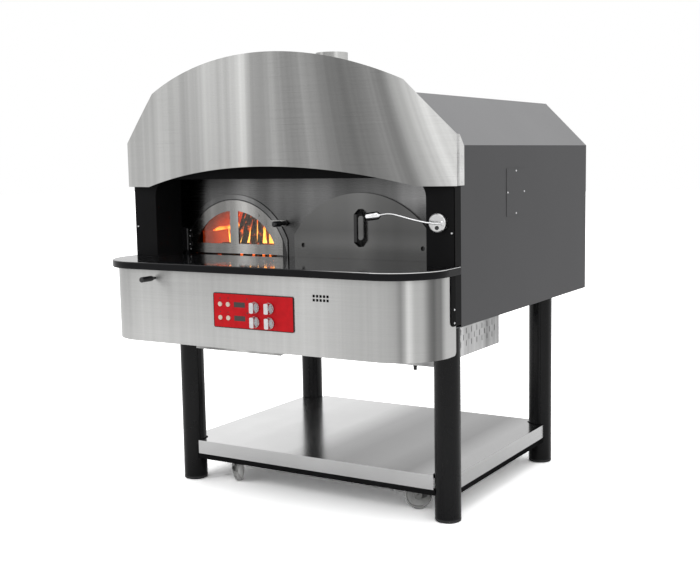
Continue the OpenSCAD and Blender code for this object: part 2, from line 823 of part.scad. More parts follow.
module hood() color(steel) in_frame() {
    intersection() {
        front_view(hood_front - 10, hood_bow + 10 + hood_t) hood_outline();
        translate([0, hood_front + hood_r, hood_z - eps]) difference() {
            cylinder(h = hood_top, r = hood_r, $fn = 720);
            translate([0, 0, -eps]) cylinder(h = hood_top + 2 * eps, r = hood_r - hood_t, $fn = 720);
        }
    }
    both_sides() difference() {
        translate([0, 0, hood_z]) linear_extrude(hood_end_h) polygon([[hood_half - hood_t, hood_end_y],
            [hood_half, hood_end_y], [half_w + hood_t, flange_front], [half_w + hood_t, flange_back],
            [half_w, flange_back], [half_w, flange_front]]);
        side_view(half_w - eps, 2 * hood_reach + 10) polygon([[flange_front - 10, flange_top + 58],
            [flange_back + eps, flange_top - eps], [flange_back + eps, hood_top]]);
        for (z = hood_screw_z) translate([half_w, flange_screw_y, z]) rotate([0, 90, 0])
            cylinder(h = 8 * hood_t, r = screw_r + run, center = true, $fn = 24);
    }
    translate([0, 0, baffle_z]) linear_extrude(sheet) intersection() {
        translate([0, hood_front + hood_r]) circle(hood_r - hood_t / 2, $fn = 720);
        translate([-roof_half, hood_front - eps]) square([2 * roof_half, portal_y - hood_front + eps]);
    }
}

// Flue
flue_sink = 30;
flue_seat = work_z + dome_wall_h + dome_rise + dome_t - flue_sink;
collar_w = 25;

module flue_pipe() color(steel) in_frame() translate([0, flue_y, 0]) difference() {
    union() {
        translate([0, 0, flue_seat]) cylinder(h = roof_z + flue_h - flue_seat, r = flue_dia / 2);
        translate([0, 0, roof_z + clear]) cylinder(h = sheet, r = flue_dia / 2 + collar_w);
    }
    translate([0, 0, flue_seat - eps])
        cylinder(h = roof_z + flue_h - flue_seat + 2 * eps, r = flue_dia / 2 - flue_wall);
}

// Plan of the stone shelf and of the apron: straight front, round front corners
module shelf_plan(half, front, back, r) intersection() {
    translate([-half, front]) square([2 * half, back - front]);
    union() {
        translate([-half, front + r]) square([2 * half, back - front]);
        translate([-half + r, front]) square([2 * (half - r), r + eps]);
        for (s = [-1, 1]) translate([s * (half - r), front + r]) circle(r, $fn = 180);
    }
}

module granite_shelf() color(black) in_frame() translate([0, 0, stone_bot]) linear_extrude(stone_t) {
    shelf_plan(stone_half, stone_y, stone_back, stone_r);
    translate([-recess_x + clear, stone_back - eps])
        square([2 * (recess_x - clear), plate_y - stone_back + eps - clear]);
}

apron_back = body_y - 44;
apron_tail_r = 18;
vent_cols = 5;
vent_rows = 2;
vent_x = 370;
vent_up = 241;

module apron() color(steel) in_frame() difference() {
    translate([0, 0, apron_bot]) linear_extrude(apron_h) difference() {
        shelf_plan(apron_half, apron_y, apron_back, apron_r);
        shelf_plan(apron_half - sheet, apron_y + sheet, apron_back + eps, apron_r - sheet);
    }
    side_view(-half_w, body_w) difference() {
        translate([apron_back - apron_tail_r, apron_bot - eps]) square([apron_tail_r + eps, apron_tail_r + eps]);
        translate([apron_back - apron_tail_r, apron_bot + apron_tail_r]) circle(apron_tail_r);
    }
    span([-half_w, portal_y - clear, strip_bot - clear], [half_w, apron_back + eps, stone_bot + eps]);
    for (c = [0:vent_cols - 1], r = [0:vent_rows - 1])
        translate([vent_x + (c - (vent_cols - 1) / 2) * vent_pitch, apron_y, apron_bot + vent_up + (r - 0.5) * vent_pitch])
            cube([vent_side, 4 * sheet, vent_side], center = true);
    translate([-rod_x, apron_y, rod_z]) rotate([90, 0, 0]) cylinder(h = 4 * sheet, r = rod_r + run, center = true);
    for (p = knob_places) translate([p[0], apron_y, p[1]]) rotate([90, 0, 0])
        cylinder(h = 4 * sheet, r = spindle_r + 2, center = true);
    for (p = button_places) translate([p[0], apron_y, p[1]]) rotate([90, 0, 0])
        cylinder(h = 4 * sheet, r = button_dia / 2 + clear, center = true);
    both_sides() for (z = strip_screw_z) translate([apron_half, strip_screw_y, z]) rotate([0, 90, 0])
        cylinder(h = 6 * sheet, r = screw_r + run, center = true, $fn = 24);
}

// Control panel
panel_z = apron_bot + panel_up;
panel_r = 8;
panel_lip = 3;
lip_t = 1;
knob_step_x = 75;
knob_step_z = 62;
knob_places = [for (x = [0, 1], z = [1, 0]) [panel_x + 12 + x * knob_step_x, panel_z - 41 + z * knob_step_z]];
button_step_x = 42;
button_step_z = 58;
button_places = [for (x = [0, 1], z = [1, 0])
    [panel_x - 170 + x * button_step_x, panel_z - 31.5 + z * button_step_z]];
display_w = 58;
display_h = 22;
display_places = [for (z = [1, 0]) [panel_x - 69, panel_z - 31 + z * button_step_z]];
spindle_r = 4;
glass_t = 1;

module control_panel() color(red) in_frame() difference() {
    union() {
        front_view(panel_y, panel_t) translate([panel_x, panel_z]) rounded_rect(panel_w, panel_h, panel_r);
        front_view(panel_y - lip_t, lip_t + eps / 2) translate([panel_x, panel_z]) difference() {
            rounded_rect(panel_w, panel_h, panel_r);
            rounded_rect(panel_w - 2 * panel_lip, panel_h - 2 * panel_lip, panel_r - panel_lip);
        }
    }
    for (p = knob_places) translate([p[0], panel_y, p[1]]) rotate([90, 0, 0])
        cylinder(h = 4 * panel_t, r = spindle_r + run, center = true);
    for (p = button_places) translate([p[0], panel_y, p[1]]) rotate([90, 0, 0])
        cylinder(h = 4 * panel_t, r = button_dia / 2 + clear, center = true);
    for (p = display_places) translate([p[0], panel_y, p[1]])
        cube([display_w + 2 * run, 2 * glass_t, display_h + 2 * run], center = true);
}

module panel_displays() color("#2a2624") in_frame() for (p = display_places)
    translate([p[0], panel_y + glass_t / 2, p[1]]) cube([display_w, glass_t, display_h], center = true);

knob_skirt_t = 6;
knob_boss_t = 5;
knob_boss_inset = 3;
knob_grip_w = 21;
knob_grip_inset = 1;
knob_face_gap = 1;
spindle_back = 14;

module knob(p) color(chrome) in_frame() translate([p[0], panel_y - knob_face_gap, p[1]]) rotate([90, 0, 0]) {
    cylinder(h = knob_skirt_t, r = knob_dia / 2);
    translate([0, 0, knob_skirt_t - eps]) cylinder(h = knob_boss_t + eps, r = knob_dia / 2 - knob_boss_inset);
    intersection() {
        cylinder(h = knob_d, r = knob_dia / 2 - knob_grip_inset);
        translate([-knob_grip_w / 2, -knob_dia / 2, 0]) cube([knob_grip_w, knob_dia, knob_d]);
    }
    translate([0, 0, -spindle_back]) cylinder(h = spindle_back + eps, r = spindle_r);
}

button_proud = 1.5;
button_collar = 2;

module push_button(p) color("#e8dcc8") in_frame() translate([p[0], panel_y, p[1]]) rotate([90, 0, 0]) {
    translate([0, 0, -panel_t - sheet]) cylinder(h = panel_t + sheet + button_travel + button_proud, r = button_dia / 2);
    translate([0, 0, -panel_t - sheet - clear - button_collar])
        cylinder(h = button_collar, r = button_dia / 2 + button_collar);
    translate([0, 0, -panel_t - sheet - clear - eps]) cylinder(h = 2 * eps, r = button_dia / 2);
}

// Pull rod
rod_z = apron_bot + rod_up;
rod_r = 6;
grip_r = 12;
grip_l = 80;
grip_cone = 14;
grip_bevel = 4;
grip_bevel_r = 3;
rod_inside = 150;

module pull_rod() color(black) in_frame() translate([-rod_x, 0, rod_z]) {
    translate([0, apron_y + rod_inside, 0]) rotate([90, 0, 0]) cylinder(h = rod_inside + rod_out - grip_l + eps, r = rod_r);
    translate([0, rod_tip_y + grip_l, 0]) rotate([90, 0, 0]) {
        cylinder(h = grip_cone, r1 = rod_r + 2, r2 = grip_r);
        translate([0, 0, grip_cone - eps]) cylinder(h = grip_l - grip_cone - grip_bevel + eps, r = grip_r);
        translate([0, 0, grip_l - grip_bevel - eps / 2])
            cylinder(h = grip_bevel + eps / 2, r1 = grip_r, r2 = grip_r - grip_bevel_r);
    }
}

// Fire door
fire_in_r = fire_r - fire_ring;
fire_in_half = fire_half - fire_ring;
fire_bot = work_z + 5;
leaf_gap = 2;
leaf_front = plate_y - clear - fire_t;
hinge_x = -fire_x - fire_in_half - 2;
hinge_y = leaf_front - 7;
hinge_r = 6;
hinge_pin_r = 3;
hinge_bot = work_z + 14;
hinge_top = work_z + 118;
hinge_n = 5;
hinge_step = (hinge_top - hinge_bot) / hinge_n;
hinge_leaf_t = 2;

module fire_door_frame() color(steel) in_frame() difference() {
    union() {
        front_view(plate_y - fire_t, fire_t) difference() {
            arch(-fire_x, fire_cz, fire_r, fire_half, work_z + clear);
            arch(-fire_x, fire_cz, fire_in_r, fire_in_half, work_z - eps);
        }
        span([hinge_x - 40, plate_y - fire_t - hinge_leaf_t, hinge_bot - 6],
            [hinge_x - 4, plate_y - fire_t + eps / 4, hinge_top + 6]);
        for (i = [0:2:hinge_n - 1]) hinge_knuckle(i, -1);
    }
    translate([hinge_x, hinge_y, hinge_bot - eps]) cylinder(h = hinge_top - hinge_bot + 2 * eps, r = hinge_pin_r + run);
}

// One barrel of the hinge with its strap, to the frame's side or to the door's
module hinge_knuckle(i, side) {
    z = hinge_bot + i * hinge_step + clear;
    h = hinge_step - 2 * clear;
    translate([hinge_x, hinge_y, z]) cylinder(h = h, r = hinge_r);
    strap_y = hinge_y + hinge_r - strap_t;
    translate([hinge_x + (side < 0 ? -strap_l : 0), strap_y, z]) cube([strap_l, strap_t, h]);
    translate([hinge_x + (side < 0 ? -strap_l : strap_l - strap_foot), strap_y + eps, z])
        cube([side < 0 ? strap_l - hinge_r : strap_foot, strap_t + eps, h]);
}

strap_l = 24;
strap_t = 3;
strap_foot = 6;

module pane_outline(grow) {
    for (s = [-1, 1]) intersection() {
        translate([-fire_x, fire_cz]) circle(pane_r + grow, $fn = 180);
        translate([-fire_x + (s > 0 ? mullion_w / 2 - grow : -pane_r - 2 * grow), work_z + pane_up - grow])
            square([pane_r + grow - mullion_w / 2 + grow, pane_r]);
    }
}

module fire_door() color(steel) in_frame() difference() {
    union() {
        front_view(leaf_front, fire_t)
            arch(-fire_x, fire_cz, fire_in_r - leaf_gap, fire_in_half - leaf_gap, fire_bot);
        for (i = [1:2:hinge_n - 1]) hinge_knuckle(i, 1);
        for (p = latch_screws) translate([p[0], leaf_front + eps, p[1]]) rotate([90, 0, 0])
            cylinder(h = latch_t + eps, r = latch_screw_r, $fn = 32);
        fire_latch();
    }
    front_view(leaf_front - eps, fire_t + 2 * eps) pane_outline(0);
    front_view(leaf_front + fire_t - pane_t, pane_t + eps) pane_outline(pane_lap);
    translate([hinge_x, hinge_y, hinge_bot - eps]) cylinder(h = hinge_top - hinge_bot + 2 * eps, r = hinge_pin_r + run);
    translate([fire_knob_x, leaf_front, fire_knob_z]) rotate([90, 0, 0])
        cylinder(h = 4 * latch_t, r = fire_stem_r + run, center = true);
}

// The bar that carries the knob, in front of the frame's ring
module fire_latch() {
    span([latch_x, leaf_front - latch_t, fire_knob_z - latch_half],
        [fire_knob_x, leaf_front, fire_knob_z + latch_half]);
    span([latch_x, leaf_front - latch_t, fire_knob_z - latch_half],
        [latch_x + latch_foot, leaf_front + eps, fire_knob_z + latch_half]);
    translate([fire_knob_x, leaf_front, fire_knob_z]) rotate([90, 0, 0]) cylinder(h = latch_t, r = latch_half);
}

pane_t = 3;
pane_lap = 4;
latch_screw_r = 5;
latch_screw_ring = pane_r + 20;
latch_screws = [for (a = [32, 44]) [-fire_x + latch_screw_ring * sin(a), fire_cz + latch_screw_ring * cos(a)]];
latch_t = 3;
latch_half = 13.5;
latch_x = -fire_x + 190;
latch_foot = 14;

module fire_door_glass() color([1, 0.55, 0.2, 0.5]) in_frame()
    front_view(leaf_front + fire_t - pane_t + run, pane_t - 2 * run) pane_outline(pane_lap - clear);

fire_knob_x = fire_half - fire_x - 10;
fire_knob_z = work_z + 152;
fire_knob_l = 90;
fire_stem_r = 5;
fire_base_r = 12;
fire_base_l = 10;
fire_neck_r = 9;
fire_neck_l = 36;
fire_cone_l = 6;
fire_grip_r = 13;
fire_bevel = 4;

module fire_door_knob() color(black) in_frame() translate([fire_knob_x, leaf_front, fire_knob_z]) rotate([90, 0, 0]) {
    cylinder(h = latch_t + eps, r = fire_stem_r);
    translate([0, 0, latch_t]) cylinder(h = fire_base_l, r = fire_base_r);
    translate([0, 0, latch_t]) cylinder(h = fire_neck_l, r = fire_neck_r);
    translate([0, 0, fire_neck_l]) cylinder(h = fire_cone_l, r1 = fire_neck_r, r2 = fire_grip_r);
    translate([0, 0, fire_neck_l + fire_cone_l - eps / 2])
        cylinder(h = fire_knob_l - fire_neck_l - fire_cone_l - fire_bevel + eps / 2, r = fire_grip_r);
    translate([0, 0, fire_knob_l - fire_bevel - eps / 2])
        cylinder(h = fire_bevel + eps / 2, r1 = fire_grip_r, r2 = fire_grip_r - fire_bevel);
}

module fire_hinge_pin() color(chrome) in_frame() translate([hinge_x, hinge_y, hinge_bot + clear]) {
    cylinder(h = hinge_top - hinge_bot, r = hinge_pin_r);
    translate([0, 0, hinge_top - hinge_bot]) cylinder(h = 3, r = hinge_pin_r + 2);
}

// Mouth door
door_hole_r = 10;
door_hole_x = mouth_half - 48;
door_hole_up = 55;
door_back = plate_y - clear;
door_front = door_back - mouth_t;
handle_z = work_z + 137.5;
handle_foot = 30;
handle_slope = 20;
handle_shoulder = 12;

module mouth_door() color(steel) in_frame() difference() {
    front_view(door_front, mouth_t) arch(mouth_x, mouth_cz, mouth_r, mouth_half, work_z + clear);
    for (s = [-1, 1]) translate([mouth_x + s * door_hole_x, door_back, work_z + door_hole_up]) rotate([90, 0, 0])
        cylinder(h = 3 * mouth_t, r = door_hole_r, center = true);
}

// Side view of a bow on the door's face: its shoulder, its front, and the slope between them
module bow(half, shoulder, front, slope) {
    polygon([[door_front, half], [door_front - shoulder, half], [door_front - front, half - slope],
        [door_front - front, slope - half], [door_front - shoulder, -half], [door_front, -half]]);
}

module mouth_door_handle() color(black) in_frame()
    side_view(mouth_x - handle_w / 2, handle_w) translate([0, handle_z]) difference() {
        bow(handle_h / 2, handle_shoulder, handle_out, handle_slope);
        translate([eps, 0]) bow(handle_h / 2 - handle_foot, handle_shoulder + handle_bar / 2 + eps,
            handle_out - handle_bar + eps, handle_slope / 2);
    }

// Lamp
lamp_x = half_w - lamp_inset;
lamp_z = work_z + lamp_up;
lamp_face = portal_y - lamp_t;
switch_r = 8;
switch_up = -20;
switch_travel = 2;
switch_depth = 10;
disc_bevel = 3;
root = [lamp_x + 22, lamp_face, lamp_z - 1];
neck_r = neck_dia / 2;
neck_bead = 1;
neck_out = 32;
head_slope = 1 / 8;
neck_plan = [[-48, 3], [-122, 16.5], [-200, 34.5], [-240, 36], [-254, 32.25], [-264, 31]];
neck_points = concat([root + [0, -clear - 3, 0], root + [0, -neck_out, 1]],
    [for (p = neck_plan) root + [p[0], -neck_out + 2, p[1]]]);
head_start = neck_points[len(neck_points) - 1];
head_end = head_start - [head_l, 0, head_l * head_slope];

module lamp_base() color(chrome) in_frame() difference() {
    translate([lamp_x, portal_y, lamp_z]) rotate([90, 0, 0]) {
        cylinder(h = lamp_t - disc_bevel, r = lamp_dia / 2);
        translate([0, 0, lamp_t - disc_bevel - eps / 2])
            cylinder(h = disc_bevel + eps / 2, r1 = lamp_dia / 2, r2 = lamp_dia / 2 - disc_bevel);
    }
    translate([lamp_x, lamp_face - eps, lamp_z + switch_up]) rotate([-90, 0, 0])
        cylinder(h = switch_depth + eps, r = switch_r + clear);
    translate(root + [0, -eps, 0]) rotate([-90, 0, 0]) cylinder(h = switch_depth + eps, r = pivot_r + run);
}

pivot_r = 6;
pivot_out = 6;

module lamp_switch() color(black) in_frame()
    translate([lamp_x, lamp_face - switch_travel - 1, lamp_z + switch_up]) rotate([-90, 0, 0])
        cylinder(h = switch_depth, r = switch_r);

// The gooseneck: straight lengths with round joints, and its stub in the disc
module lamp_neck() color(chrome) in_frame() {
    translate(root + [0, -pivot_out, 0]) rotate([-90, 0, 0])
        cylinder(h = pivot_out + switch_depth - 1, r = pivot_r);
    for (i = [0:len(neck_points) - 2]) bar(neck_points[i], neck_points[i + 1], neck_r);
    for (i = [1:len(neck_points) - 2]) translate(neck_points[i]) sphere(neck_r + neck_bead, $fn = 32);
}

head_lip = 4;
head_lip_in = 2;
head_wall = 3;
head_bore = 9;

module lamp_head() color(chrome) in_frame() {
    d = (head_end - head_start) / norm(head_end - head_start);
    difference() {
        union() {
            bar(head_start, head_end - d * head_lip, head_dia / 2);
            bar(head_end - d * (head_lip + eps), head_end, head_dia / 2 - head_lip_in);
        }
        bar(head_end - d * head_bore, head_end + d * eps, head_dia / 2 - head_lip_in - head_wall);
    }
}

// Boxes under the body
box_bot = body_z - box_h;
slot_w = 5;
slot_l = 26;
slot_start = 43;
slot_step = 57;
slot_row = 28.5;
slot_rows = 3;
slot_cols = 11;
gland_x = service_x - 98;
gland_y = service_y + 16;
gland_r = 9;
gland_bore = 5;

module service_box() color(steel) in_frame() difference() {
    span([service_x - service_w, service_y, box_bot], [service_x, service_y + service_d, body_z]);
    span([service_x - service_w + sheet, service_y + sheet, box_bot + sheet],
        [service_x - sheet, service_y + service_d - sheet, body_z + eps]);
    for (r = [0:slot_rows - 1], c = [0:slot_cols - 1])
        translate([service_x, service_y + slot_start + c * slot_step + (r % 2) * slot_row, box_bot + 55 + r * slot_row])
            cube([4 * sheet, slot_w, slot_l], center = true);
    translate([gland_x, gland_y, box_bot - eps]) cylinder(h = sheet + 2 * eps, r = gland_r - 2 + run);
}

module cable_gland() color(black) in_frame() translate([gland_x, gland_y, box_bot]) difference() {
    union() {
        translate([0, 0, -8]) cylinder(h = 8, r = gland_r + 1, $fn = 6);
        translate([0, 0, -22]) cylinder(h = 14 + eps, r = gland_r - 1);
        translate([0, 0, -eps]) cylinder(h = 10 + eps, r = gland_r - 2);
    }
    translate([0, 0, -22 - eps]) cylinder(h = 34, r = gland_bore);
}

drawer_top = rail_z + rail_t + clear + sheet;
drawer_face_top = body_z - 6;

module ash_drawer() color(steel) in_frame() translate([drawer_mid, drawer_y, 0]) difference() {
    half = drawer_w / 2;
    union() {
        span([-half, 0, box_bot], [half, drawer_d, drawer_top]);
        span([-half - rail_lip, 0, drawer_top - sheet], [half + rail_lip, drawer_d, drawer_top]);
        span([-half - rail_lip, -sheet, box_bot], [half + rail_lip, eps / 4, drawer_face_top]);
    }
    span([-half + sheet, sheet, box_bot + sheet], [half - sheet, drawer_d - sheet, drawer_top + eps]);
}

// Rotating deck
stone_top = work_z - 4;
stone_under = stone_top - deck_t;
carrier_t = 10;
carrier_z = stone_under - carrier_t;
deck_hub_r = 60;
shaft_bot = body_z + sheet + 10;
gear_z = body_z + sheet + 62;
foot_bearing_h = 36;
rib_h = 18;
rib_w = 10;
rib_n = 8;
rib_inset = 90;
carrier_inset = 20;
spigot_h = 10;
spigot_r = 15;

module baking_stone() color(stone) in_frame() translate([0, deck_y, stone_under]) difference() {
    cylinder(h = deck_t, r = deck_r, $fn = 180);
    translate([0, 0, -eps]) cylinder(h = spigot_h + 1 + eps, r = spigot_r + clear);
}

module deck_carrier() color(grey) in_frame() translate([0, deck_y, 0]) {
    translate([0, 0, carrier_z]) cylinder(h = carrier_t, r = deck_r - carrier_inset, $fn = 180);
    translate([0, 0, stone_under - eps]) cylinder(h = spigot_h, r = spigot_r);
    for (i = [0:rib_n - 1]) rotate(i * 360 / rib_n)
        translate([deck_hub_r - rib_w, -rib_w / 2, carrier_z - rib_h])
            cube([deck_r - rib_inset - deck_hub_r, rib_w, rib_h + eps / 2]);
    translate([0, 0, carrier_z - rib_h]) cylinder(h = rib_h + eps / 2, r = deck_hub_r);
    translate([0, 0, shaft_bot]) cylinder(h = carrier_z - rib_h - shaft_bot + eps, r = shaft_r);
    translate([0, 0, gear_z]) linear_extrude(gear_w) gear_outline(deck_teeth, gear_m);
}

// Involute gear outline, each tooth thinned a little at its pitch line for running
tooth_thin = 0.12;
pressure = 20;

function involute(a) = tan(a) * 180 / PI - a;

function half_tooth(n, m, r) = let (rp = n * m / 2)
    90 / n - tooth_thin / rp * 180 / PI + involute(pressure) - involute(acos(rp * cos(pressure) / r));

function tooth_radii(n, m) = let (rp = n * m / 2, r0 = max(rp * cos(pressure), rp - 1.2 * m))
    [r0, rp, rp + m];

module gear_outline(n, m) {
    radii = tooth_radii(n, m);
    root_r = n * m / 2 - 1.3 * m;
    polygon([for (i = [0:n - 1]) each concat(
        [[root_r * cos(i * 360 / n - half_tooth(n, m, radii[0])), root_r * sin(i * 360 / n - half_tooth(n, m, radii[0]))]],
        [for (r = radii) let (a = i * 360 / n - half_tooth(n, m, r)) [r * cos(a), r * sin(a)]],
        [for (k = [len(radii) - 1:-1:0]) let (r = radii[k], a = i * 360 / n + half_tooth(n, m, r)) [r * cos(a), r * sin(a)]],
        [[root_r * cos(i * 360 / n + half_tooth(n, m, radii[0])), root_r * sin(i * 360 / n + half_tooth(n, m, radii[0]))]])]);
}

bearing_h = 40;
bearing_r = 52;
bearing_flange_r = 85;
bearing_flange_t = 8;

module deck_bearing() color(grey) in_frame() translate([0, deck_y, 0]) difference() {
    union() {
        translate([0, 0, hearth_z - bearing_flange_t]) cylinder(h = bearing_flange_t, r = bearing_flange_r);
        translate([0, 0, hearth_z - bearing_h]) cylinder(h = bearing_h, r = bearing_r);
        translate([0, 0, body_z + sheet]) cylinder(h = bearing_flange_t, r = bearing_flange_r);
        translate([0, 0, body_z + sheet]) cylinder(h = foot_bearing_h, r = bearing_r);
    }
    translate([0, 0, shaft_bot - clear]) cylinder(h = hearth_z - shaft_bot + eps, r = shaft_r + run);
}

gear_mesh = (deck_teeth + pinion_teeth) * gear_m / 2 + 0.1;
pinion_shaft_r = 8;
gearbox = [96, 100, 56];
gearbox_x = -38;
gearbox_floor = 10;
motor_neck = [12, 27];
motor_can = [130, 37];
motor_cap = [26, 33];
motor_foot = [100, 60, 6];
motor_foot_x = 10;
motor_x = gearbox_x + gearbox[0] + motor_neck[0];

// A round part of the motor along X, given as its length and radius
module motor_drum(x, z, size) {
    translate([x - eps, 0, z]) rotate([0, 90, 0]) cylinder(h = size[0] + eps, r = size[1]);
}

module gearmotor() color("#3a4a5c") in_frame() translate([gear_mesh, deck_y, body_z + sheet]) difference() {
    union() {
        translate([gearbox_x, -gearbox[1] / 2, 0]) cube(gearbox);
        motor_drum(motor_x - motor_neck[0], gearbox[2] / 2, motor_neck);
        motor_drum(motor_x, motor_can[1], motor_can);
        motor_drum(motor_x + motor_can[0], motor_can[1], motor_cap);
        translate([motor_x + motor_foot_x, -motor_foot[1] / 2, 0]) cube(motor_foot);
    }
    translate([0, 0, gearbox_floor]) cylinder(h = gearbox[2], r = pinion_shaft_r + run);
}

pinion_z = body_z + sheet + gearbox_floor + 2;
pinion_proud = 4;

module drive_pinion() color(steel) in_frame() translate([gear_mesh, deck_y, 0]) {
    translate([0, 0, gear_z]) rotate(180 + 180 / pinion_teeth) linear_extrude(gear_w) gear_outline(pinion_teeth, gear_m);
    translate([0, 0, pinion_z]) cylinder(h = gear_z + gear_w + pinion_proud - pinion_z, r = pinion_shaft_r);
}

// Refractory dome
cavity_r = deck_r + deck_gap;
dome_foot = work_z + dome_wall_h;
cap_r = (cavity_r * cavity_r + dome_rise * dome_rise) / (2 * dome_rise);
cap_z = dome_foot + dome_rise - cap_r;
throat_r = flue_dia / 2 - flue_wall;
boss_top = flue_seat;
tunnel_front = plate_back + clear;
tunnel_reach = 60;
tunnel_l = deck_y - tunnel_reach - tunnel_front;
boss_wall = 25;

// The chamber's solid of revolution, grown by a given thickness, from a given bottom
module chamber(grow, bottom) translate([0, deck_y, 0]) rotate_extrude($fn = 180) intersection() {
    translate([0, bottom]) square([cavity_r + grow, roof_z]);
    translate([0, cap_z]) circle(cap_r + grow, $fn = 180);
}

module dome_outside() {
    chamber(dome_t, hearth_top);
    front_view(tunnel_front, tunnel_l) mouth_tunnel_view(tunnel_wall, hearth_top);
    front_view(tunnel_front, tunnel_l) fire_tunnel_view(tunnel_wall, hearth_top);
    translate([0, flue_y, dome_foot]) cylinder(h = boss_top - dome_foot, r = flue_dia / 2 + boss_wall);
}

module dome() color(stone) in_frame() difference() {
    dome_outside();
    chamber(0, hearth_top - eps);
    front_view(tunnel_front - eps, tunnel_l) mouth_tunnel_view(0, work_z);
    front_view(tunnel_front - eps, tunnel_l) fire_tunnel_view(0, work_z);
    translate([0, flue_y, dome_foot - eps]) cylinder(h = boss_top, r = throat_r);
    translate([burner_x, burner_y, hearth_top - eps]) cylinder(h = 100, r = feed_r + clear);
}

module dome_insulation() color("#efe9da") in_frame() difference() {
    intersection() {
        chamber(dome_t + insul_t, hearth_top);
        span([-pan_x, tunnel_front + clear, hearth_top], [pan_x, pan_back, roof_z]);
    }
    chamber(dome_t + clear, hearth_top - eps);
    front_view(tunnel_front - eps, tunnel_l + 2 * eps) mouth_tunnel_view(tunnel_wall + clear, hearth_top - eps);
    front_view(tunnel_front - eps, tunnel_l + 2 * eps) fire_tunnel_view(tunnel_wall + clear, hearth_top - eps);
    translate([0, flue_y, dome_foot]) cylinder(h = roof_z, r = flue_dia / 2 + boss_wall + clear);
}

// Burner in the fire tunnel
burner_x = -fire_x;
burner_y = plate_back + 150;
burner_l = 380;
burner_z = work_z + 22;
feed_r = 11;
feed_drop = 20;
burner_foot_inset = 30;
burner_foot_w = 8;
burner_ports = 24;
port_pitch = 15;
port_r = 2;

module burner() color(grey) in_frame() translate([burner_x, burner_y, 0]) difference() {
    union() {
        translate([0, 0, burner_z]) rotate([0, 90, 0]) cylinder(h = burner_l, r = burner_dia / 2, center = true);
        translate([0, 0, body_z - feed_drop]) cylinder(h = burner_z - body_z + feed_drop, r = feed_r);
        for (s = [-1, 1]) translate([s * (burner_l / 2 - burner_foot_inset), 0, (work_z + burner_z) / 2])
            cube([burner_foot_w, burner_dia, burner_z - work_z], center = true);
    }
    for (i = [0:burner_ports - 1]) translate([(i - (burner_ports - 1) / 2) * port_pitch, 0, burner_z])
        cylinder(h = burner_dia, r = port_r, $fn = 16);
}

// Screws
module screw(flip) rotate([0, flip, 0]) {
    cylinder(h = screw_head_t, r1 = screw_head_r, r2 = screw_head_r - screw_dome, $fn = 32);
    translate([0, 0, -screw_l]) cylinder(h = screw_l + eps, r = screw_r, $fn = 24);
}

module screws() color(chrome) in_frame() {
    for (p = access_screws) translate([half_w + sheet, p[0], p[1]]) screw(90);
    both_sides() for (z = hood_screw_z) translate([half_w + hood_t, flange_screw_y, z]) screw(90);
    both_sides() for (z = strip_screw_z) translate([half_w, strip_screw_y, z]) screw(90);
    both_sides() translate([face_screw_x, portal_y, face_screw_z]) rotate([90, 0, 0]) screw(0);
    for (p = rear_screws) translate([p[0], back_y, p[1]]) rotate([-90, 0, 0]) screw(0);
}

legs();
leg_inner_covers();
foot_plugs();
lower_frame();
lower_shelf();
castor_fork(front_left);  // castor_fork_front_left
castor_fork(front_right);  // castor_fork_front_right
castor_fork(rear_left);  // castor_fork_rear_left
castor_fork(rear_right);  // castor_fork_rear_right
castor_wheel(front_left);  // castor_wheel_front_left
castor_wheel(front_right);  // castor_wheel_front_right
castor_wheel(rear_left);  // castor_wheel_rear_left
castor_wheel(rear_right);  // castor_wheel_rear_right
base_frame();
side_panel_left();
side_panel_right();
roof_panel();
rear_panel();
access_cover();
portal_frame();
recess_liner();
front_plate();
hood();
flue_pipe();
granite_shelf();
apron();
control_panel();
panel_displays();
knob(knob_places[0]);  // knob_upper_left
knob(knob_places[1]);  // knob_lower_left
knob(knob_places[2]);  // knob_upper_right
knob(knob_places[3]);  // knob_lower_right
push_button(button_places[0]);  // button_upper_left
push_button(button_places[1]);  // button_lower_left
push_button(button_places[2]);  // button_upper_right
push_button(button_places[3]);  // button_lower_right
pull_rod();
fire_door_frame();
fire_door();
fire_door_glass();
fire_door_knob();
fire_hinge_pin();
mouth_door();
mouth_door_handle();
lamp_base();
lamp_switch();
lamp_neck();
lamp_head();
service_box();
cable_gland();
ash_drawer();
baking_stone();
deck_carrier();
deck_bearing();
gearmotor();
drive_pinion();
dome();
dome_insulation();
burner();
screws();
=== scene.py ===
"""Looks of the rotating deck pizza oven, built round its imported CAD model. Metres throughout."""
import json
import math
import random
import bmesh
import bpy
from mathutils import Matrix, Vector, noise


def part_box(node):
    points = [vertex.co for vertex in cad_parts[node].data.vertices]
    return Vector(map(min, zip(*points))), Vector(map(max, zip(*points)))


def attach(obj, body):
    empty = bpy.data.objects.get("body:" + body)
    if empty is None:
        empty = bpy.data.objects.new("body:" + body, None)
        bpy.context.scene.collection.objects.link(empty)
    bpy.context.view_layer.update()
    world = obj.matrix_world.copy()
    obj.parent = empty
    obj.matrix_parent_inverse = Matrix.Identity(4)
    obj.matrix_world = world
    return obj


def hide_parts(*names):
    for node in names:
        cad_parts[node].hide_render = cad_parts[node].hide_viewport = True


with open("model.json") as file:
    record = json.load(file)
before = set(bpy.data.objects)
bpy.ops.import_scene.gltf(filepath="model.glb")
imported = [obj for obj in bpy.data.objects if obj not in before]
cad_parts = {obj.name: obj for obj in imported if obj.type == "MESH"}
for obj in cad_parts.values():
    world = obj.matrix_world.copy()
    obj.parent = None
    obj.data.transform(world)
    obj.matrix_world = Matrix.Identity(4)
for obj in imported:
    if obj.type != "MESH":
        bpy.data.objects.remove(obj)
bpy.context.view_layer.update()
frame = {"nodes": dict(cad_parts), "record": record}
nodes = frame["nodes"]

# The oven's own stations are laid out from the middle of the legs.
LEGS_BACK = (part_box("legs")[0][1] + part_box("legs")[1][1]) / 2


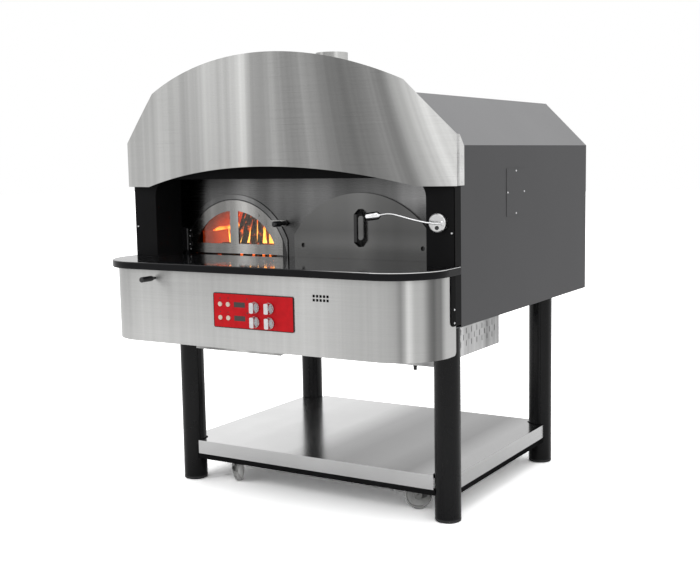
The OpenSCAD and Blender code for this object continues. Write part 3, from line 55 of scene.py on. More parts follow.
def at(x, y, z):
    """A point given in millimetres from the middle of the legs, in the shared frame."""
    return Vector((x / 1000, y / 1000 + LEGS_BACK, z / 1000))


# ---- materials

class Finish:
    """One Principled shader with short ways to feed its sockets from procedural nodes."""

    def __init__(self, name, colour, roughness, metallic=0.0, **sockets):
        self.material = bpy.data.materials.new(name)
        self.material.use_nodes = True
        self.tree = self.material.node_tree
        self.shader = self.tree.nodes["Principled BSDF"]
        self.colour = colour
        self.set("Base Color", (*colour, 1.0))
        self.set("Roughness", roughness)
        self.set("Metallic", metallic)
        for socket, value in sockets.items():
            self.set(socket.replace("_", " "), value)

    def set(self, socket, value):
        self.shader.inputs[socket].default_value = value

    def node(self, kind, **settings):
        made = self.tree.nodes.new("ShaderNode" + kind)
        for key, value in settings.items():
            setattr(made, key, value)
        return made

    def link(self, source, target):
        self.tree.links.new(source, target)

    def feed(self, socket, source):
        self.link(source, self.shader.inputs[socket])

    def place(self, scale=(1, 1, 1)):
        """Object coordinates, stretched."""
        mapping = self.node("Mapping")
        self.link(self.node("TexCoord").outputs["Object"], mapping.inputs["Vector"])
        mapping.inputs["Scale"].default_value = scale
        return mapping.outputs["Vector"]

    def noise(self, vector, scale, detail=2.0, roughness=0.5, distortion=0.0):
        tex = self.node("TexNoise")
        self.link(vector, tex.inputs["Vector"])
        tex.inputs["Scale"].default_value = scale
        tex.inputs["Detail"].default_value = detail
        tex.inputs["Roughness"].default_value = roughness
        tex.inputs["Distortion"].default_value = distortion
        return tex.outputs["Fac"]

    def voronoi(self, vector, scale):
        tex = self.node("TexVoronoi")
        self.link(vector, tex.inputs["Vector"])
        tex.inputs["Scale"].default_value = scale
        return tex.outputs["Distance"]

    def ramp(self, value, *stops):
        """Colours or greys at places from 0 to 1."""
        made = self.node("ValToRGB")
        elements = made.color_ramp.elements
        while len(elements) < len(stops):
            elements.new(0.5)
        for element, (place, tone) in zip(elements, stops):
            element.position = place
            element.color = (tone, tone, tone, 1) if isinstance(tone, (int, float)) else (*tone, 1)
        self.link(value, made.inputs["Fac"])
        return made.outputs["Color"]

    def math(self, operation, a, b=0.0):
        made = self.node("Math", operation=operation)
        for socket, value in zip(made.inputs, (a, b)):
            if isinstance(value, (int, float)):
                socket.default_value = value
            else:
                self.link(value, socket)
        return made.outputs[0]

    def times(self, first, *others):
        """The product of outputs and numbers."""
        for other in others:
            first = self.math("MULTIPLY", first, other)
        return first

    def below(self, value, limit):
        """1 where the value is under the limit."""
        return self.math("LESS_THAN", value, limit)

    def off(self, value, middle, limit):
        """1 where the value lies further than the limit from a middle."""
        distance = self.math("ABSOLUTE", self.math("SUBTRACT", value, middle))
        return self.math("GREATER_THAN", distance, limit)

    def away(self, a, b):
        """The distance from the middle, from its two parts."""
        return self.math("SQRT", self.math("ADD", self.times(a, a), self.times(b, b)))

    def parts(self, vector):
        """A vector's X, Y and Z as three outputs."""
        made = self.node("SeparateXYZ")
        self.link(vector, made.inputs[0])
        return made.outputs["X"], made.outputs["Y"], made.outputs["Z"]

    def axes(self):
        """The object's own X, Y and Z."""
        return self.parts(self.place())

    def uprightness(self):
        """1 on faces that look up, 0 on upright ones."""
        return self.parts(self.node("NewGeometry").outputs["Normal"])[2]

    def streaks(self, value, scale, low, high):
        """Streaks that change only along one value."""
        joined = self.node("CombineXYZ")
        self.link(value, joined.inputs["X"])
        return self.spread(self.noise(joined.outputs[0], scale, 3, 0.55), low, high)

    def slow(self, low, high):
        """Slow upright streaks over a whole sheet."""
        return self.spread(self.noise(self.place((1.0, 1.0, 0.06)), 7.0, 3), low, high)

    def spread(self, value, low, high):
        """Maps 0.3 to 0.7, where noise mostly lies, to low and high."""
        made = self.node("MapRange")
        self.link(value, made.inputs["Value"])
        made.inputs["From Min"].default_value = 0.3
        made.inputs["From Max"].default_value = 0.7
        made.inputs["To Min"].default_value = low
        made.inputs["To Max"].default_value = high
        return made.outputs["Result"]

    def mix(self, factor, a, b, blend="MIX"):
        made = self.node("Mix", data_type="RGBA", blend_type=blend)
        for index, value in ((0, factor), (6, a), (7, b)):
            if isinstance(value, (int, float)):
                made.inputs[index].default_value = value
            elif isinstance(value, tuple):
                made.inputs[index].default_value = (*value, 1)
            else:
                self.link(value, made.inputs[index])
        return made.outputs[2]

    def bump(self, height, strength, distance):
        made = self.node("Bump")
        made.inputs["Strength"].default_value = strength
        made.inputs["Distance"].default_value = distance
        self.link(height, made.inputs["Height"])
        self.feed("Normal", made.outputs["Normal"])

    def skin(self, where, grain, low, high, strength, distance):
        """A fine grain that shows in the roughness and as bumps."""
        fine = self.noise(where, grain, 2)
        self.feed("Roughness", self.spread(fine, low, high))
        self.bump(fine, strength, distance)

    def vary(self, factor, low, high):
        """Colours the surface between two shares of its own colour."""
        dark = tuple(c * low for c in self.colour)
        light = tuple(min(1.0, c * high) for c in self.colour)
        mixed = self.mix(factor, dark, light)
        self.feed("Base Color", mixed)
        return mixed


def enamel(name, colour, roughness, coat, specular):
    """Paint with a little orange peel and a worn, uneven gloss."""
    f = Finish(name, colour, roughness, Coat_Weight=coat, Coat_Roughness=0.08,
               Specular_IOR_Level=specular)
    where = f.place()
    cloud = f.noise(where, 3.5, 4)
    f.vary(f.spread(cloud, 0, 1), 0.8, 1.25)
    f.feed("Roughness", f.spread(f.noise(where, 9, 5), roughness * 0.75, roughness * 1.3))
    f.bump(f.noise(where, 260, 2), 0.12, 0.0004)
    return f.material


def powder(name, colour, roughness, grain):
    """Powder coat: a fine pebbled skin."""
    f = Finish(name, colour, roughness, Specular_IOR_Level=0.3)
    where = f.place()
    fine = f.noise(where, grain, 3, 0.6)
    cloud = f.noise(where, 2.2, 4)
    f.vary(f.times(f.spread(fine, 0.3, 1.0), f.spread(cloud, 0.7, 1.0)), 0.82, 1.15)
    f.feed("Roughness", f.spread(fine, roughness * 0.9, roughness * 1.12))
    f.bump(fine, 0.22, 0.0005)
    return f.material


LEVEL_GRAIN = (3, 3, 900)
FINE_GRAIN = (3, 3, 1400)
DEEP_GRAIN = (3, 900, 900)
# PAINTED is black paint; on the fire door ring it also stands for painted shade in the gap.
PAINTED = (0.012, 0.012, 0.013)


def brushed(name, colour, roughness, grain=LEVEL_GRAIN, bands=None, depth=0.16, aniso=0.8, black=None):
    """Brushed sheet: fine lines along its grain, slow bands or given bands that paint reflections and
    shade, and parts that are painted black or given painted shade.
    """
    f = Finish(name, colour, roughness, 1.0, Anisotropic=aniso, Anisotropic_Rotation=0.25)
    f.feed("Tangent", f.node("Tangent", direction_type="RADIAL", axis="Z").outputs[0])
    lines = f.noise(f.place(grain), 1.0, 5, 0.7)
    cloud = f.noise(f.place((1.0, 1.0, 0.25)), 4.0, 4)
    # Given bands paint reflections and shade into the colour.
    slow = bands(f) if bands else f.slow(0.3, 1.0)
    tone = f.times(f.spread(lines, 1 - depth, 1.0), f.spread(cloud, 0.94, 1.0), slow)
    mixed = f.vary(tone, 0.0, 1.25)
    if black:
        painted = black(f)
        f.feed("Base Color", f.mix(painted, mixed, PAINTED))
        f.feed("Metallic", f.math("SUBTRACT", 1.0, painted))
    f.feed("Roughness", f.spread(lines, roughness * 0.8, roughness * 1.35))
    f.bump(lines, 0.06, 0.0003)
    return f.material


# The fire door's own stations, in metres.
FIRE_DOOR_X = -0.390
FIRE_ARCH_Z = 1.084
LEAF_RADIUS = 0.3015
LEAF_HALF = 0.2795
LEAF_ARCH_RISE = 0.112
HINGE_X = -0.640
HINGE_FRONT = at(0, -568.5, 0).y


def hinge_black(f):
    """1 where the fire door's hinge stands in front of the leaf and the ring."""
    x, y, _ = f.axes()
    return f.times(f.below(y, HINGE_FRONT), f.below(x, HINGE_X))


def hinge_black_and_gap_shade(f):
    """The hinge, and painted shade in the gap between the ring and the leaf."""
    x, _, z = f.axes()
    across = f.math("ABSOLUTE", f.math("SUBTRACT", x, FIRE_DOOR_X))
    up = f.math("SUBTRACT", z, FIRE_ARCH_Z)
    sides = f.times(f.below(across, LEAF_HALF), f.below(up, LEAF_ARCH_RISE))
    # Painted shade: a thin dark band along the ring's inner edge, where the gap to the leaf lies.
    gap = f.math("MAXIMUM", f.below(f.away(across, up), LEAF_RADIUS), sides)
    return f.math("MAXIMUM", hinge_black(f), gap)


def portal_black():
    """The portal's black, with painted shade in the open seam at its front corners."""
    f = Finish("portal_coat", (0.0125, 0.0125, 0.013), 0.45, Specular_IOR_Level=0.02)
    x, y, _ = f.axes()
    # Painted shade: the open seam at the front corners is darker than the coat.
    seam = f.times(f.below(y, at(0, -743.5, 0).y), f.off(x, 0.0, 0.8355))
    where = f.place()
    coat = f.vary(f.spread(f.noise(where, 3.5, 4), 0, 1), 0.8, 1.25)
    f.feed("Base Color", f.mix(seam, coat, (0.002, 0.002, 0.002)))
    f.skin(where, 800, 0.40, 0.50, 0.1, 0.0002)
    return f.material


def wheel_disc(node):
    """A pale moulded disc with a dark tread line and a dark hub, round the wheel's own middle."""
    f = Finish(node + "_disc", (0.64, 0.64, 0.63), 0.4)
    low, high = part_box(node)
    radius = (high[2] - low[2]) / 2
    _, y, z = f.axes()
    dy = f.math("SUBTRACT", y, (low[1] + high[1]) / 2)
    dz = f.math("SUBTRACT", z, (low[2] + high[2]) / 2)
    share = f.math("DIVIDE", f.away(dy, dz), radius)
    zones = f.ramp(share, (0.0, 0.10), (0.20, 0.12), (0.26, 0.55), (0.50, 0.85), (0.74, 1.0),
                   (0.78, 0.62), (0.84, 0.9), (0.93, 0.85), (0.96, 0.25), (1.0, 0.22))
    where = f.place()
    worn = f.vary(f.spread(f.noise(where, 60, 4), 0, 1), 0.9, 1.08)
    f.feed("Base Color", f.mix(1.0, worn, zones, "MULTIPLY"))
    f.skin(where, 700, 0.34, 0.46, 0.1, 0.0003)
    return f.material


def panel_red():
    """The control panel's red face with its dark rim."""
    f = Finish("red_face", (0.60, 0.007, 0.013), 0.35, Specular_IOR_Level=0.14)
    x, _, z = f.axes()
    rim = f.math("MAXIMUM", f.off(x, 0.033, 0.2035), f.off(z, 0.933, 0.0715))
    where = f.place()
    face = f.vary(f.spread(f.noise(where, 30, 4), 0, 1), 0.9, 1.1)
    f.feed("Base Color", f.mix(rim, face, (0.03, 0.012, 0.013)))
    f.skin(where, 900, 0.30, 0.40, 0.12, 0.0003)
    return f.material


def plate_shade_and_highlight(f):
    """The plate behind the doors, with painted shade darker towards the stone, and a painted highlight
    smear at its upper right.
    """
    x, _, z = f.axes()
    rise = f.times(f.math("SUBTRACT", z, 1.1), 2.0)
    # Painted shade: darker towards the stone.
    level = f.ramp(rise, (0.0, 0.31), (0.3, 0.335), (0.6, 0.44), (1.0, 0.46))
    # Painted highlight: a pale smear at the upper right.
    right = f.ramp(x, (0.46, 0.0), (0.60, 1.0))
    smear = f.times(right, f.ramp(rise, (0.40, 0.0), (0.58, 1.0), (0.80, 0.7)), 1.7)
    return f.times(level, f.math("ADD", 1.0, smear), f.slow(0.4, 0.9))


def door_painted_reflections(f):
    """The mouth door's painted reflections and shade: palest over its handle and darker at its right."""
    x, _, z = f.axes()
    along = f.math("DIVIDE", x, 0.62)
    rise = f.math("DIVIDE", f.math("SUBTRACT", z, 1.12), 0.36)
    # Painted reflections and shade, across the door and up it.
    level = f.ramp(along, (0.05, 0.60), (0.35, 0.72), (0.50, 0.80), (0.62, 0.58), (0.78, 0.50),
                   (0.95, 0.60))
    height = f.ramp(rise, (0.0, 1.0), (0.22, 0.95), (0.36, 0.76), (0.55, 0.90), (0.8, 1.0))
    return f.times(level, height, f.slow(0.92, 1.08))


def shelf_painted_reflections(f):
    """Painted reflections: slow light and dark streaks that run from the front of the tray to its back,
    on its top.
    """
    x = f.axes()[0]
    place = f.math("ADD", f.times(x, 0.7), 0.5)
    # Painted reflections: light and dark streaks across the tray's top.
    broad = f.ramp(place, (0.05, 0.86), (0.20, 0.84), (0.40, 0.70), (0.52, 0.30), (0.62, 0.20),
                   (0.75, 0.26), (0.86, 0.17), (0.95, 0.4))
    top = f.math("GREATER_THAN", f.uprightness(), 0.5)
    tone = f.mix(top, (0.58, 0.58, 0.58), broad)
    return f.times(tone, f.spread(f.noise(f.place((1.0, 0.05, 1.0)), 3.0, 2), 0.93, 1.05))


def apron_painted_reflections(f):
    """The apron's painted reflections, its bright left half and the narrow streaks round its right
    corner, with painted shade at its upper left.
    """
    x, _, z = f.axes()
    place = f.math("ADD", f.times(x, 0.58), 0.5)
    # Painted reflections: the bright left half and the streaks round the right corner.
    broad = f.ramp(place, (0.012, 0.34), (0.020, 0.86), (0.038, 0.84), (0.060, 0.62), (0.20, 0.66),
                   (0.36, 0.62), (0.55, 0.60), (0.70, 0.62), (0.80, 0.53), (0.855, 0.51), (0.880, 0.51),
                   (0.905, 0.46), (0.918, 0.32), (0.925, 0.46), (0.932, 0.78), (0.938, 0.66),
                   (0.944, 0.50), (0.952, 0.52), (0.957, 0.48), (0.962, 0.38), (0.967, 0.24),
                   (0.972, 0.155), (0.978, 0.26), (0.981, 0.24), (0.984, 0.60), (1.0, 0.64))
    # Painted shade at the apron's upper left.
    left = f.ramp(f.times(f.math("SUBTRACT", 0.3, x), 1.4), (0.0, 0.0), (0.6, 1.0))
    high = f.ramp(f.times(f.math("SUBTRACT", z, 0.8), 3.5), (0.0, 0.08), (1.0, 0.26))
    shade = f.math("SUBTRACT", 1.0, f.times(left, high))
    return f.times(broad, shade, f.streaks(x, 30, 0.93, 1.05))


def hood_painted_reflections(f):
    """Painted reflections: broad light and dark streaks that fan out towards the hood's lower edge."""
    x, _, z = f.axes()
    down = f.math("SUBTRACT", 1.64, z)
    lean = f.times(f.math("MAXIMUM", x, 0.0), 0.5)
    fanned = f.math("SUBTRACT", x, f.times(down, lean))
    place = f.math("ADD", f.times(fanned, 0.55), 0.5)
    # Painted reflections: light and dark streaks across the hood.
    broad = f.ramp(place, (0.0, 0.70), (0.10, 0.60), (0.17, 0.69), (0.215, 0.59), (0.26, 0.41),
                   (0.30, 0.42), (0.335, 0.50), (0.405, 0.45), (0.455, 0.64), (0.475, 0.36), (0.50, 0.36),
                   (0.545, 0.47), (0.585, 0.33), (0.643, 0.43), (0.70, 0.25), (0.76, 0.23), (0.82, 0.335),
                   (0.845, 0.28), (0.872, 0.58), (0.90, 0.76), (0.93, 1.0), (0.955, 1.0), (1.0, 0.7))
    return f.times(broad, f.streaks(fanned, 24, 0.84, 1.1))


def polished(name, colour, roughness):
    """Plated or polished metal with faint smears."""
    f = Finish(name, colour, roughness, 1.0)
    where = f.place()
    smear = f.noise(where, 45, 4, 0.6)
    f.vary(f.spread(smear, 0, 1), 0.9, 1.08)
    f.feed("Roughness", f.spread(smear, roughness * 0.6, roughness * 1.6))
    f.bump(f.noise(where, 600, 2), 0.03, 0.0002)
    return f.material


def moulded(name, colour, roughness, grain=700, **sockets):
    """Moulded plastic or rubber with a fine spark-eroded skin."""
    f = Finish(name, colour, roughness, **sockets)
    where = f.place()
    f.vary(f.spread(f.noise(where, 30, 4), 0, 1), 0.88, 1.12)
    f.skin(where, grain, roughness * 0.85, roughness * 1.15, 0.12, 0.0003)
    return f.material


def granite():
    """Polished black stone with pale flecks, and a painted highlight along its right end's edge."""
    f = Finish("granite_black", (0.008, 0.008, 0.0085), 0.07, Specular_IOR_Level=0.32)
    where = f.place()
    flecks = f.ramp(f.voronoi(where, 420), (0.0, 1.0), (0.16, 0.0))
    veins = f.noise(where, 60, 6, 0.7)
    speckle = f.times(flecks, f.spread(veins, 0, 1))
    stone = f.mix(speckle, (0.009, 0.009, 0.010), (0.075, 0.075, 0.08))
    f.feed("Roughness", f.spread(f.noise(where, 14, 5), 0.04, 0.12))
    f.bump(f.noise(where, 5, 2), 0.02, 0.002)
    up = f.uprightness()
    # Painted highlight: a pale band on the rounded top edge at the right end.
    arris = f.ramp(up, (0.25, 0.0), (0.40, 1.0), (0.85, 1.0), (0.95, 0.0))
    painted_edge_highlight = f.times(arris, f.ramp(f.axes()[0], (0.30, 0.0), (0.60, 1.0)))
    f.feed("Base Color", f.mix(painted_edge_highlight, stone, (0.85, 0.85, 0.85)))
    f.feed("Specular IOR Level", f.ramp(up, (0.0, 0.08), (0.35, 0.10), (0.6, 0.7), (0.9, 0.34)))
    return f.material


def firebrick():
    """Refractory brick, dark red-brown towards the front on the fire's side, and black without gloss at
    the jambs behind the fire door and at the front of the hearth.
    """
    f = Finish("firebrick", (0.55, 0.45, 0.34), 0.9)
    where = f.place()
    brick = f.node("TexBrick")
    f.link(where, brick.inputs["Vector"])
    brick.inputs["Scale"].default_value = 4.5
    brick.inputs["Mortar Size"].default_value = 0.012
    brick.inputs["Color1"].default_value = (0.58, 0.46, 0.34, 1)
    brick.inputs["Color2"].default_value = (0.46, 0.36, 0.27, 1)
    brick.inputs["Mortar"].default_value = (0.30, 0.26, 0.22, 1)
    soot = f.spread(f.noise(where, 6, 6, 0.65), 0.45, 1.0)
    worn = f.mix(1.0, brick.outputs["Color"], f.ramp(soot, (0, 0.2), (1, 1.0)), "MULTIPLY")
    x, y, z = f.axes()
    fire_side = f.below(x, -0.1)
    jamb = f.below(y, at(0, -509, 0).y)
    hearth = f.times(f.below(y, at(0, -400, 0).y), f.below(z, 1.15))
    # Black without gloss at the jambs and the front of the hearth; dark red-brown towards the front on
    # the fire's side.
    mouth = f.times(f.math("MAXIMUM", jamb, hearth), fire_side)
    red_zone = f.times(f.below(y, at(0, -200, 0).y), fire_side)
    red_brown = f.mix(red_zone, worn, f.mix(soot, (0.28, 0.09, 0.04), (0.36, 0.14, 0.06)))
    f.feed("Base Color", f.mix(mouth, red_brown, (0.003, 0.003, 0.003)))
    f.feed("Specular IOR Level", f.times(f.math("SUBTRACT", 1.0, mouth), 0.3))
    f.feed("Roughness", f.spread(f.noise(where, 80, 3), 0.8, 0.98))
    f.bump(f.noise(where, 130, 5, 0.7), 0.5, 0.002)
    return f.material


def blanket():
    """White ceramic fibre wool."""
    f = Finish("ceramic_blanket", (0.78, 0.75, 0.68), 0.95, Sheen_Weight=0.4)
    where = f.place()
    tufts = f.noise(where, 70, 6, 0.7, 1.2)
    f.vary(f.spread(tufts, 0, 1), 0.72, 1.05)
    f.feed("Roughness", f.spread(tufts, 0.85, 1.0))
    f.bump(tufts, 0.8, 0.004)
    return f.material


def cast_iron():
    """Sand-cast iron with a little rust."""
    f = Finish("cast_iron", (0.06, 0.058, 0.056), 0.55, 0.6)
    where = f.place()
    sand = f.noise(where, 220, 4, 0.65)
    rust = f.spread(f.noise(where, 12, 6, 0.7), 0, 1)
    f.feed("Base Color", f.mix(f.times(rust, 0.35), (0.055, 0.054, 0.053), (0.13, 0.075, 0.045)))
    f.feed("Roughness", f.spread(sand, 0.45, 0.75))
    f.bump(sand, 0.35, 0.0008)
    return f.material


def fire_glass():
    """Clear glass with an amber film of soot."""
    f = Finish("fire_glass", (1.0, 0.80, 0.60), 0.02, Transmission_Weight=1.0, IOR=1.45,
               Specular_IOR_Level=0.12)
    where = f.place()
    film = f.noise(where, 18, 5, 0.65)
    f.vary(f.spread(film, 0, 1), 0.82, 1.0)
    f.feed("Roughness", f.spread(film, 0.0, 0.05))
    return f.material


def glowing(name, stops, strength, grain, low, high):
    """A body that glows by its height between two levels, broken up by noise."""
    f = Finish(name, (0.05, 0.02, 0.01), 0.9, Emission_Strength=strength)
    height = f.node("MapRange")
    f.link(f.axes()[2], height.inputs["Value"])
    height.inputs["From Min"].default_value = low
    height.inputs["From Max"].default_value = high
    lick = f.noise(f.place((1, 1, 0.35)), grain, 4, 0.6, 0.8)
    value = f.math("ADD", f.times(height.outputs[0], 0.6), f.spread(lick, -0.05, 0.4))
    colours = f.ramp(value, *stops)
    f.feed("Emission Color", colours)
    f.feed("Base Color", f.mix(0.9, colours, (0.02, 0.01, 0.008)))
    f.feed("Roughness", f.spread(lick, 0.8, 1.0))
    return f.material


def bark():
    """Charred bark with glowing cracks."""
    f = Finish("charred_bark", (0.06, 0.035, 0.022), 0.92, Emission_Strength=1.6)
    where = f.place()
    ridges = f.noise(f.place((1, 1, 0.18)), 70, 5, 0.7, 0.6)
    cracks = f.noise(where, 26, 5, 0.7)
    hot = f.ramp(cracks, (0.56, 0.0), (0.68, (1.0, 0.16, 0.015)), (0.80, (1.0, 0.45, 0.08)))
    f.feed("Base Color", f.ramp(ridges, (0.3, (0.006, 0.005, 0.005)), (0.62, (0.030, 0.020, 0.016)),
                                (0.8, (0.07, 0.05, 0.04))))
    f.feed("Emission Color", hot)
    f.feed("Roughness", f.spread(ridges, 0.8, 1.0))
    f.bump(ridges, 0.9, 0.006)
    return f.material


# Each material slot's usual finish.
finishes = {
    "black_gloss": enamel("leg_enamel", (0.0045, 0.0045, 0.005), 0.24, 0.06, 0.14),
    "black_satin": enamel("black_satin_coat", (0.0125, 0.0125, 0.013), 0.45, 0.0, 0.0),
    "anthracite": powder("anthracite_coat", (0.062, 0.062, 0.065), 0.55, 950),
    "frame_grey": powder("grey_primer", (0.18, 0.19, 0.20), 0.6, 700),
    "steel": brushed("brushed_steel", (0.52, 0.52, 0.51), 0.30),
    # Painted shade: the recess's satin steel is given a dark tone for the shade it sits in.
    "steel_fine": brushed("shaded_satin_steel", (0.125, 0.125, 0.125), 0.25, FINE_GRAIN, None, 0.1, 0.9),
    "chrome": polished("chrome", (0.80, 0.80, 0.81), 0.08),
    "zinc": polished("zinc_plate", (0.62, 0.62, 0.63), 0.30),
    "rubber": moulded("black_rubber", (0.016, 0.016, 0.017), 0.6),
    "wheel": moulded("wheel_grey", (0.60, 0.60, 0.59), 0.40),
    "granite": granite(),
    "red": panel_red(),
    "display": moulded("smoked_window", (0.040, 0.028, 0.024), 0.15),
    "button": moulded("warm_white_button", (0.72, 0.63, 0.52), 0.4),
    "knob": polished("satin_knob", (0.58, 0.59, 0.60), 0.25),
    "black_plastic": moulded("black_bakelite", (0.008, 0.008, 0.009), 0.28, 900),
    "glass": fire_glass(),
    "brick": firebrick(),
    "wool": blanket(),
    "cast": cast_iron(),
    "motor": powder("motor_paint", (0.06, 0.10, 0.16), 0.45, 500),
}
fork_steel = polished("dark_zinc_plate", (0.20, 0.20, 0.195), 0.35)

# The finishes of nodes that differ from their slot's.
own_finish = {
    "hood": brushed("hood_steel", (0.62, 0.62, 0.61), 0.30, bands=hood_painted_reflections),
    "apron": brushed("apron_steel", (0.70, 0.70, 0.69), 0.32, bands=apron_painted_reflections),
    "lower_shelf": brushed("shelf_steel", (0.70, 0.70, 0.70), 0.16, DEEP_GRAIN, shelf_painted_reflections, 0.05, 0.0),
    # Painted shade and reflection: the plate, mouth door, ring and leaf are one satin steel, each in its
    # own tone.
    "front_plate": brushed("plate_steel", (0.36, 0.36, 0.36), 0.25, FINE_GRAIN, plate_shade_and_highlight, 0.1, 0.9),
    "mouth_door": brushed("door_steel", (0.175, 0.175, 0.173), 0.16, FINE_GRAIN, door_painted_reflections, 0.06, 0.0),
    "fire_door_frame": brushed("ring_steel", (0.19, 0.19, 0.19), 0.22, FINE_GRAIN, None, 0.1, 0.9,
                               hinge_black_and_gap_shade),
    "fire_door": brushed("leaf_steel", (0.36, 0.355, 0.345), 0.22, FINE_GRAIN, None, 0.1, 0.9,
                         hinge_black),
    "fire_hinge_pin": finishes["black_satin"],
    "service_box": brushed("box_steel", (0.85, 0.85, 0.85), 0.40, depth=0.06),
    "lamp_base": polished("lamp_disc", (0.60, 0.60, 0.60), 0.22),
    "portal_frame": portal_black(),
    # Painted sheen: the roof has the side panels' powder coat in a lighter tone, for the light its slope
    # catches.
    "roof_panel": powder("roof_coat_painted_sheen", (0.235, 0.235, 0.24), 0.5, 950),
}

for row in frame["record"]["subparts"]:
    cad = nodes[row["node"]]
    finish = own_finish.get(row["node"], finishes[row["material_slot"]])
    if row["node"].startswith("castor_fork"):
        finish = fork_steel
    elif row["node"].startswith("castor_wheel"):
        finish = wheel_disc(row["node"])
    for place in cad.material_slots:
        place.material = finish


SHARP = math.radians(40)


def soften(node, width, segments=3):
    """Rounds the sharp edges of a CAD node."""
    cad = nodes[node]
    weld = cad.modifiers.new("weld", "WELD")
    weld.merge_threshold = 0.00001
    bevel = cad.modifiers.new("bevel", "BEVEL")
    bevel.width = width
    bevel.segments = segments
    bevel.limit_method = "ANGLE"
    bevel.angle_limit = SHARP


soften("granite_shelf", 0.004)
soften("mouth_door_handle", 0.004)
for corner in ("upper_left", "upper_right", "lower_left", "lower_right"):
    soften("knob_" + corner, 0.0012, 2)


# ---- making pieces

def piece(name, bm, finish, body, replaced=(), smooth=35):
    """Turns a bmesh into a finished piece that rides on a body."""
    bmesh.ops.recalc_face_normals(bm, faces=bm.faces)
    mesh = bpy.data.meshes.new(name)
    bm.to_mesh(mesh)
    bm.free()
    for one in finish if isinstance(finish, (list, tuple)) else [finish]:
        mesh.materials.append(one)
    mesh.polygons.foreach_set("use_smooth", [True] * len(mesh.polygons))
    mesh.set_sharp_from_angle(angle=math.radians(smooth))
    made = bpy.data.objects.new(name, mesh)
    bpy.context.scene.collection.objects.link(made)
    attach(made, body)
    if replaced:
        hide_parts(*replaced)
    return made


def turned(axis):
    """Turns +Z to the given direction."""
    return Vector((0, 0, 1)).rotation_difference(Vector(axis)).to_matrix().to_4x4()


def lathe(bm, profile, place, segments=32, material=0):
    """Revolves radius and height pairs round the place's own Z axis. A radius of 0 closes an end."""
    rings = []
    for radius, height in profile:
        if radius <= 0:
            rings.append([bm.verts.new(place @ Vector((0, 0, height)))])
        else:
            turns = (2 * math.pi * i / segments for i in range(segments))
            points = (Vector((radius * math.cos(a), radius * math.sin(a), height)) for a in turns)
            rings.append([bm.verts.new(place @ point) for point in points])
    for low, high in zip(rings, rings[1:]):
        for i in range(segments):
            j = (i + 1) % segments
            corners = [low[i % len(low)], low[j % len(low)], high[j % len(high)], high[i % len(high)]]
            corners = list(dict.fromkeys(corners))
            if len(corners) > 2:
                bm.faces.new(corners).material_index = material


def smooth_path(points, steps):
    """A Catmull-Rom curve through the points."""
    padded = [points[0] * 2 - points[1], *points, points[-1] * 2 - points[-2]]
    out = []
    for a, b, c, d in zip(padded, padded[1:], padded[2:], padded[3:]):
        for i in range(steps):
            t = i / steps
            out.append(0.5 * ((2 * b) + (c - a) * t + (2 * a - 5 * b + 4 * c - d) * t * t
                              + (3 * b - a - 3 * c + d) * t * t * t))
    out.append(points[-1].copy())
    return out


def sweep(bm, path, radius, segments):
    """A round tube along a path. radius is a function of the share of the path, from 0 to 1."""
    lengths = [0.0]
    for a, b in zip(path, path[1:]):
        lengths.append(lengths[-1] + (b - a).length)
    side = None
    rings = []
    for i, point in enumerate(path):
        ahead = (path[min(i + 1, len(path) - 1)] - path[max(i - 1, 0)]).normalized()
        if side is None:
            side = ahead.orthogonal().normalized()
        side = (side - ahead * side.dot(ahead)).normalized()
        up = ahead.cross(side)
        r = radius(lengths[i] / lengths[-1])
        rings.append([bm.verts.new(point + (side * math.cos(a) + up * math.sin(a)) * r)
                      for a in (2 * math.pi * k / segments for k in range(segments))])
    for low, high in zip(rings, rings[1:]):
        for k in range(segments):
            j = (k + 1) % segments
            bm.faces.new((low[k], low[j], high[j], high[k]))
    for end in (rings[0], rings[-1]):
        bm.faces.new(end)


# ---- lamp

NECK_RADIUS = 0.0040
NECK_RIB = 0.00035
NECK_RIBS = 74
root = at(794, -770, 1302)
neck_places = [(0, 6, 0), (0, -4, 0), (-2, -17, 0.5), (-12, -27, 1), (-30, -30, 2), (-62, -30, 5),
               (-122, -30, 16.5), (-170, -30, 28), (-200, -30, 34.5), (-222, -30, 36.5), (-242, -30, 35),
               (-266, -30, 30.8)]
neck_path = smooth_path([root + Vector(p) / 1000 for p in neck_places], 30)
ferrule = [(0, 0.006), (0.006, 0.006), (0.006, -0.006), (0.0088, -0.0072), (0.0088, -0.0010),
           (0.0075, 0.0002), (0, 0.0002)]
bm = bmesh.new()
sweep(bm, neck_path, lambda t: NECK_RADIUS + NECK_RIB * math.sin(t * 2 * math.pi * NECK_RIBS), 14)
lathe(bm, ferrule, Matrix.Translation(root) @ turned((0, -1, 0)), 28)
piece("gooseneck", bm, finishes["chrome"], "lamp_arm", ["lamp_neck"], 50)

head_start = root + Vector((-0.264, -0.030, 0.031))
head_end = root + Vector((-0.326, -0.030, 0.02325))
along = Matrix.Translation(head_start) @ turned(head_end - head_start)
shell = [(0, -0.002), (0.0060, -0.002), (0.0066, 0.001), (0.0110, 0.004), (0.0150, 0.0085),
         (0.0166, 0.0130), (0.0170, 0.0170), (0.0170, 0.0245), (0.0162, 0.0250), (0.0162, 0.0265),
         (0.0170, 0.0270), (0.0170, 0.0560), (0.0164, 0.0592), (0.0150, 0.0615), (0.0134, 0.0615),
         (0.0126, 0.0560)]
bm = bmesh.new()
lathe(bm, shell, along, 40)
lathe(bm, [(0.0126, 0.0560), (0.0080, 0.0575), (0, 0.0582)], along, 40, 1)
lens = Finish("lamp_lens", (0.9, 0.9, 0.86), 0.12, Coat_Weight=0.5)
lens.vary(lens.spread(lens.noise(lens.place(), 400, 3), 0, 1), 0.9, 1.05)
piece("lamp_head_shell", bm, [finishes["chrome"], lens.material], "lamp_arm",
      ["lamp_head"], 40)


# ---- hinge screws

